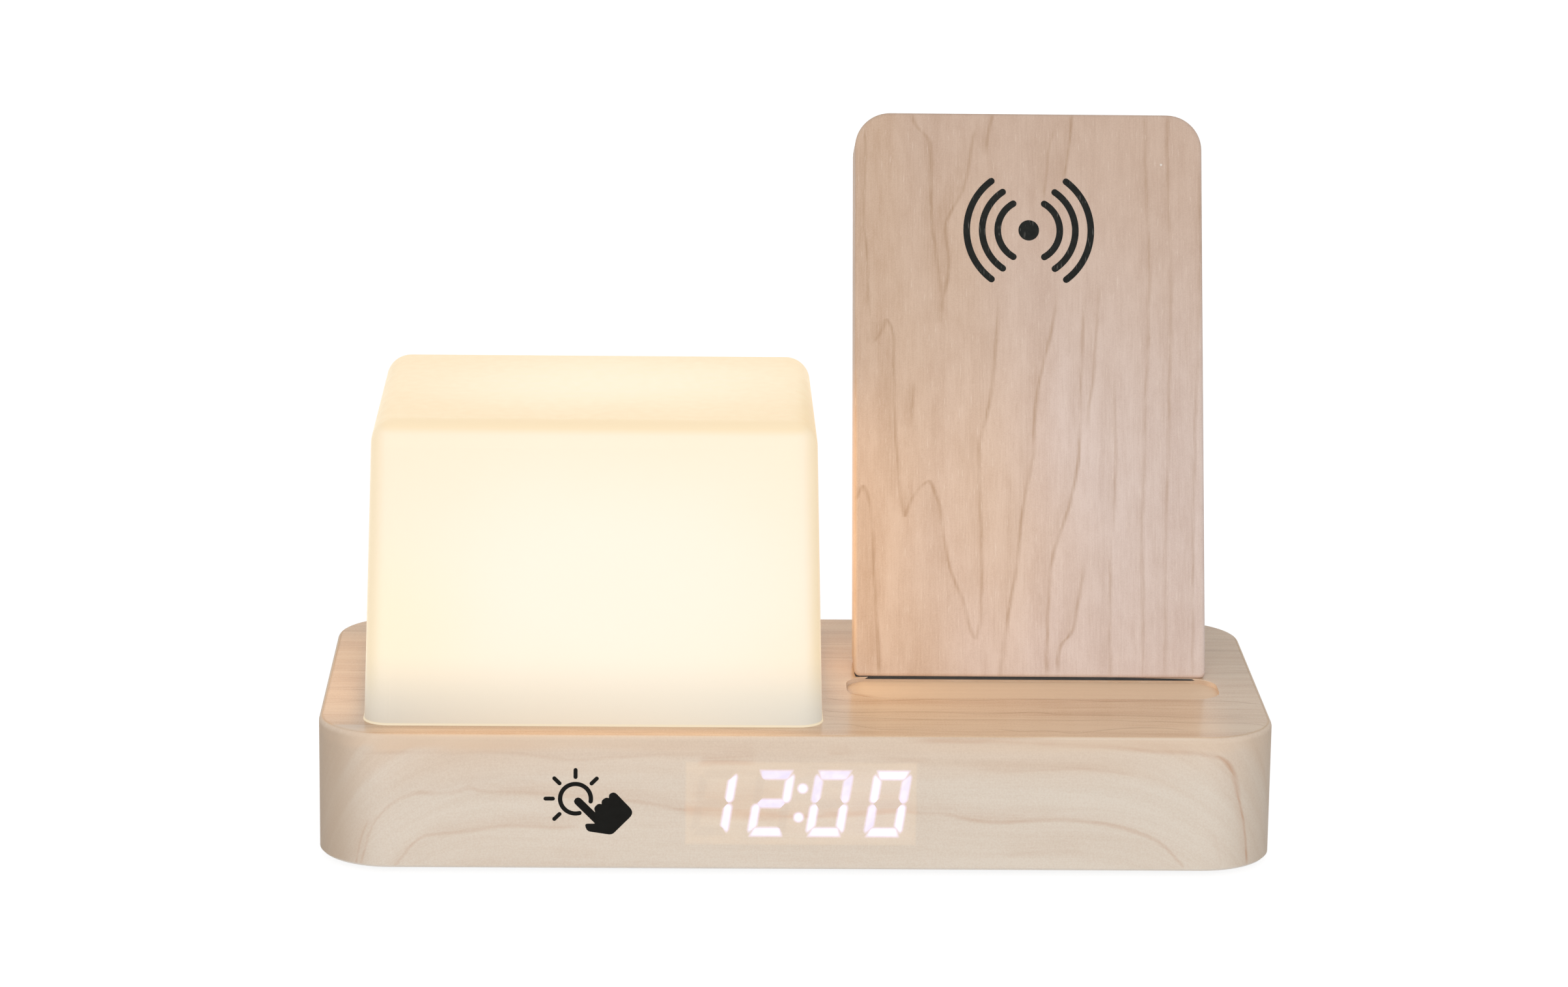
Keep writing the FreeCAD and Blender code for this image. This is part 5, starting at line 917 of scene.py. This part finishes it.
# Figures of the display: sizes of a stroke and a figure, and how far a stroke's core and glow reach
STROKE = 1.85
UPRIGHT = 1.7
HALF_WIDTH = 4.02
HALF_HEIGHT = 7.35
CORE_MARGIN = -0.3
GLOW_MARGIN = 0.42
CORE_LIFT = 0.03
GLOW_LIFT = 0.015
FIGURES_Z = 16.15
SLANT = math.tan(math.radians(8.8))
COLON = ((1.16, 19.52), (0.32, 13.03))
COLON_CORE = 0.75
COLON_GLOW = 1.4

# Each figure's middle, its lit strokes, and those of them with a cooler tint
FIGURES = [(-18.0, "bc", ""), (-5.65, "abged", "ag"), (6.97, "abcdef", "abf"), (19.58, "abcdef", "be")]


def stroke_shape(letter):
    """Outline of one stroke, blunt at the figure's waist."""
    w, h, s, v = HALF_WIDTH, HALF_HEIGHT, STROKE, UPRIGHT
    if letter == "g":
        tip, shoulder = 3.0, 2.45
        return [(-tip, 0.0), (-shoulder, s / 2.0), (shoulder, s / 2.0),
                (tip, 0.0), (shoulder, -s / 2.0), (-shoulder, -s / 2.0)]
    if letter in "ad":
        shape = [(-w + 0.62, h), (w - 0.62, h), (w - 1.32, h - s), (-w + 1.32, h - s)]
    else:
        shape = [(w - 0.3, h - 0.92), (w, h - 1.3), (w, 0.8), (w - 0.5, 0.22),
                 (w - v + 0.4, 0.22), (w - v, 0.75), (w - v, h - s - 0.4)]
    across = -1.0 if letter in "ef" else 1.0
    upward = -1.0 if letter in "dce" else 1.0
    return [(a * across, b * upward) for a, b in shape]


def offset(loop, margin):
    """The same outline with every side moved outwards by a margin."""
    points = [Vector(point) for point in loop]
    total = len(points)
    area = sum(points[i - 1].cross(points[i]) for i in range(total))
    turn = 1.0 if area > 0 else -1.0
    result = []
    for i in range(total):
        before = (points[i] - points[i - 1]).normalized()
        after = (points[(i + 1) % total] - points[i]).normalized()
        first = Vector((before.y, -before.x)) * turn
        second = Vector((after.y, -after.x)) * turn
        result.append(points[i] + (first + second) * (margin / (1.0 + first.dot(second))))
    return [(point.x, point.y) for point in result]


def stroke_loop(letter, margin):
    loop = offset(stroke_shape(letter), margin)
    return rounded(loop, [0.42] * len(loop), 3)


def soft_piece(name, pairs, share_name):
    """Shapes with a core and a rim over which the named share falls to nought."""
    mesh = bpy.data.meshes.new(name)
    work = bmesh.new()
    share = work.verts.layers.float.new(share_name)
    cool = work.verts.layers.float.new("cool")
    for core, rim, tint in pairs:
        inner = [work.verts.new(on_front(a, b, CORE_LIFT)) for a, b in core]
        outer = [work.verts.new(on_front(a, b, GLOW_LIFT)) for a, b in rim]
        for vertex in inner:
            vertex[share] = 1.0
        for vertex in inner + outer:
            vertex[cool] = tint
        work.faces.new(inner)
        for i in range(len(core)):
            j = (i + 1) % len(core)
            work.faces.new((inner[i], outer[i], outer[j], inner[j]))
    bmesh.ops.recalc_face_normals(work, faces=work.faces[:])
    for face in work.faces:
        if face.normal.y > 0:
            face.normal_flip()
    work.to_mesh(mesh)
    work.free()
    return place_piece(name, mesh, SLOTS["display_skin"])


def slanted(loop, middle):
    return [(middle + a + b * SLANT, FIGURES_Z + b) for a, b in loop]


unlit = []
for number, (middle, lit, cool_strokes) in enumerate(FIGURES):
    pairs = []
    for letter in "abcdefg":
        core = slanted(stroke_loop(letter, CORE_MARGIN), middle)
        rim = slanted(stroke_loop(letter, GLOW_MARGIN), middle)
        if letter in lit:
            pairs.append((core, rim, 1.0 if letter in cool_strokes else 0.0))
        else:
            unlit.append((core, rim, 0.0))
    soft_piece(f"figure_{number + 1}", pairs, "lit")
soft_piece("unlit_strokes", unlit, "dim")
dots = [(disc(x, z, COLON_CORE, 32), disc(x, z, COLON_GLOW, 32), 0.0) for x, z in COLON]
soft_piece("figure_colon", dots, "lit")


# Floor, light and camera: the floor and the world are seen white and light the object less
FLOOR_SIZE = 12.0
FLOOR_LEVEL = -0.0002
WORLD_LIGHT = 0.52
WORLD_SEEN = 1.0


def floor():
    mesh = bpy.data.meshes.new("floor")
    work = bmesh.new()
    bmesh.ops.create_grid(work, x_segments=4, y_segments=4, size=FLOOR_SIZE)
    work.to_mesh(mesh)
    work.free()
    plane = bpy.data.objects.new("floor", mesh)
    plane.location.z = FLOOR_LEVEL
    bpy.context.scene.collection.objects.link(plane)
    g = Shader("floor")
    path = g.node("LightPath")
    direct = g.most(path.outputs["Is Camera Ray"], path.outputs["Is Glossy Ray"])
    direct = g.most(direct, path.outputs["Is Transmission Ray"])
    x, y, z = g.place()
    cloud = g.noise(g.join(x, y, z), 0.004, 2.0)
    tone = g.mix(g.spread(cloud, 0.3, 0.7, 0.0, 1.0), (0.78, 0.78, 0.78), (0.8, 0.8, 0.8))
    seen = g.mix(direct, tone, (0.24, 0.24, 0.24))
    g.set(Base_Color=seen, Roughness=0.9, Specular_IOR_Level=0.0)
    g.set(Emission_Color=(1.0, 1.0, 1.0), Emission_Strength=g.mul(direct, 0.87))
    mesh.materials.append(g.material)


def world():
    item = bpy.data.worlds.new("studio")
    bpy.context.scene.world = item
    item.use_nodes = True
    tree = item.node_tree
    tree.nodes.clear()
    output = tree.nodes.new("ShaderNodeOutputWorld")
    path = tree.nodes.new("ShaderNodeLightPath")
    direct = path.outputs["Is Camera Ray"]
    for ray in ("Is Glossy Ray", "Is Transmission Ray"):
        either = tree.nodes.new("ShaderNodeMath")
        either.operation = "MAXIMUM"
        tree.links.new(direct, either.inputs[0])
        tree.links.new(path.outputs[ray], either.inputs[1])
        direct = either.outputs[0]
    mix = tree.nodes.new("ShaderNodeMixShader")
    tree.links.new(direct, mix.inputs[0])
    for socket, strength in zip(mix.inputs[1:], (WORLD_LIGHT, WORLD_SEEN)):
        shade = tree.nodes.new("ShaderNodeBackground")
        shade.inputs["Strength"].default_value = strength
        shade.inputs["Color"].default_value = (1.0, 1.0, 1.0, 1.0)
        tree.links.new(shade.outputs[0], socket)
    tree.links.new(mix.outputs[0], output.inputs["Surface"])


def area_light(name, place, target, size, power, colour):
    data = bpy.data.lights.new(name, "AREA")
    data.shape = "RECTANGLE"
    data.size, data.size_y = size
    data.energy = power
    data.color = colour
    lamp = bpy.data.objects.new(name, data)
    bpy.context.scene.collection.objects.link(lamp)
    lamp.location = place
    lamp.rotation_euler = (Vector(target) - Vector(place)).to_track_quat("-Z", "Y").to_euler()
    lamp.visible_camera = False
    lamp.visible_glossy = False


# The camera that matches the photograph: focal length, yaw, pitch and roll in radians, and place
CAMERA_LENS = 116.738
CAMERA_TURN = (-0.025005525, -0.23691726, 0.012436846)
CAMERA_PLACE = (-29.988, -1104.353, 338.894)


def camera():
    data = bpy.data.cameras.new("camera")
    data.sensor_fit = "HORIZONTAL"
    data.sensor_width = 36.0
    data.lens = CAMERA_LENS
    data.clip_end = 50.0
    yaw, pitch, roll = CAMERA_TURN
    ahead = Vector((-math.sin(yaw) * math.cos(pitch), math.cos(yaw) * math.cos(pitch), math.sin(pitch)))
    right = Vector((math.cos(yaw), math.sin(yaw), 0.0))
    up = right.cross(ahead)
    turned_right = right * math.cos(roll) + up * math.sin(roll)
    turned_up = up * math.cos(roll) - right * math.sin(roll)
    item = bpy.data.objects.new("camera", data)
    bpy.context.scene.collection.objects.link(item)
    columns = Matrix((turned_right, turned_up, -ahead)).transposed()
    item.matrix_world = Matrix.Translation(metres(*CAMERA_PLACE)) @ columns.to_4x4()
    bpy.context.scene.camera = item


# Two soft studio lamps, and four warm ones where the night lamp throws light on the wood:
# name, place, target, size, power and colour
MIDDLE = (0.0, 0.0, 0.05)
WHITE = (1.0, 1.0, 1.0)
WARM = (1.0, 0.7, 0.4)
LIGHTS = [
    ("key", (-0.15, -1.9, 0.75), MIDDLE, (1.1, 0.9), 16.5, WHITE),
    ("back", (0.3, 1.9, 0.9), MIDDLE, (1.1, 0.9), 8.0, WHITE),
    ("lamp_right", (0.0064, 0.004, 0.063), (0.1, 0.004, 0.063), (0.056, 0.056), 0.0062, WARM),
    ("lamp_left", (-0.0948, -0.0065, 0.063), (-0.2, -0.0065, 0.063), (0.074, 0.056), 0.0115, WARM),
    ("lamp_front", (-0.0442, -0.0468, 0.063), (-0.0442, -0.2, 0.063), (0.093, 0.056), 0.016, WARM),
    ("lamp_back", (-0.0442, 0.0338, 0.063), (-0.0442, 0.2, 0.063), (0.093, 0.056), 0.016, WARM),
]

floor()
world()
for light in LIGHTS:
    area_light(*light)
camera()
bpy.context.scene.view_settings.view_transform = "Standard"
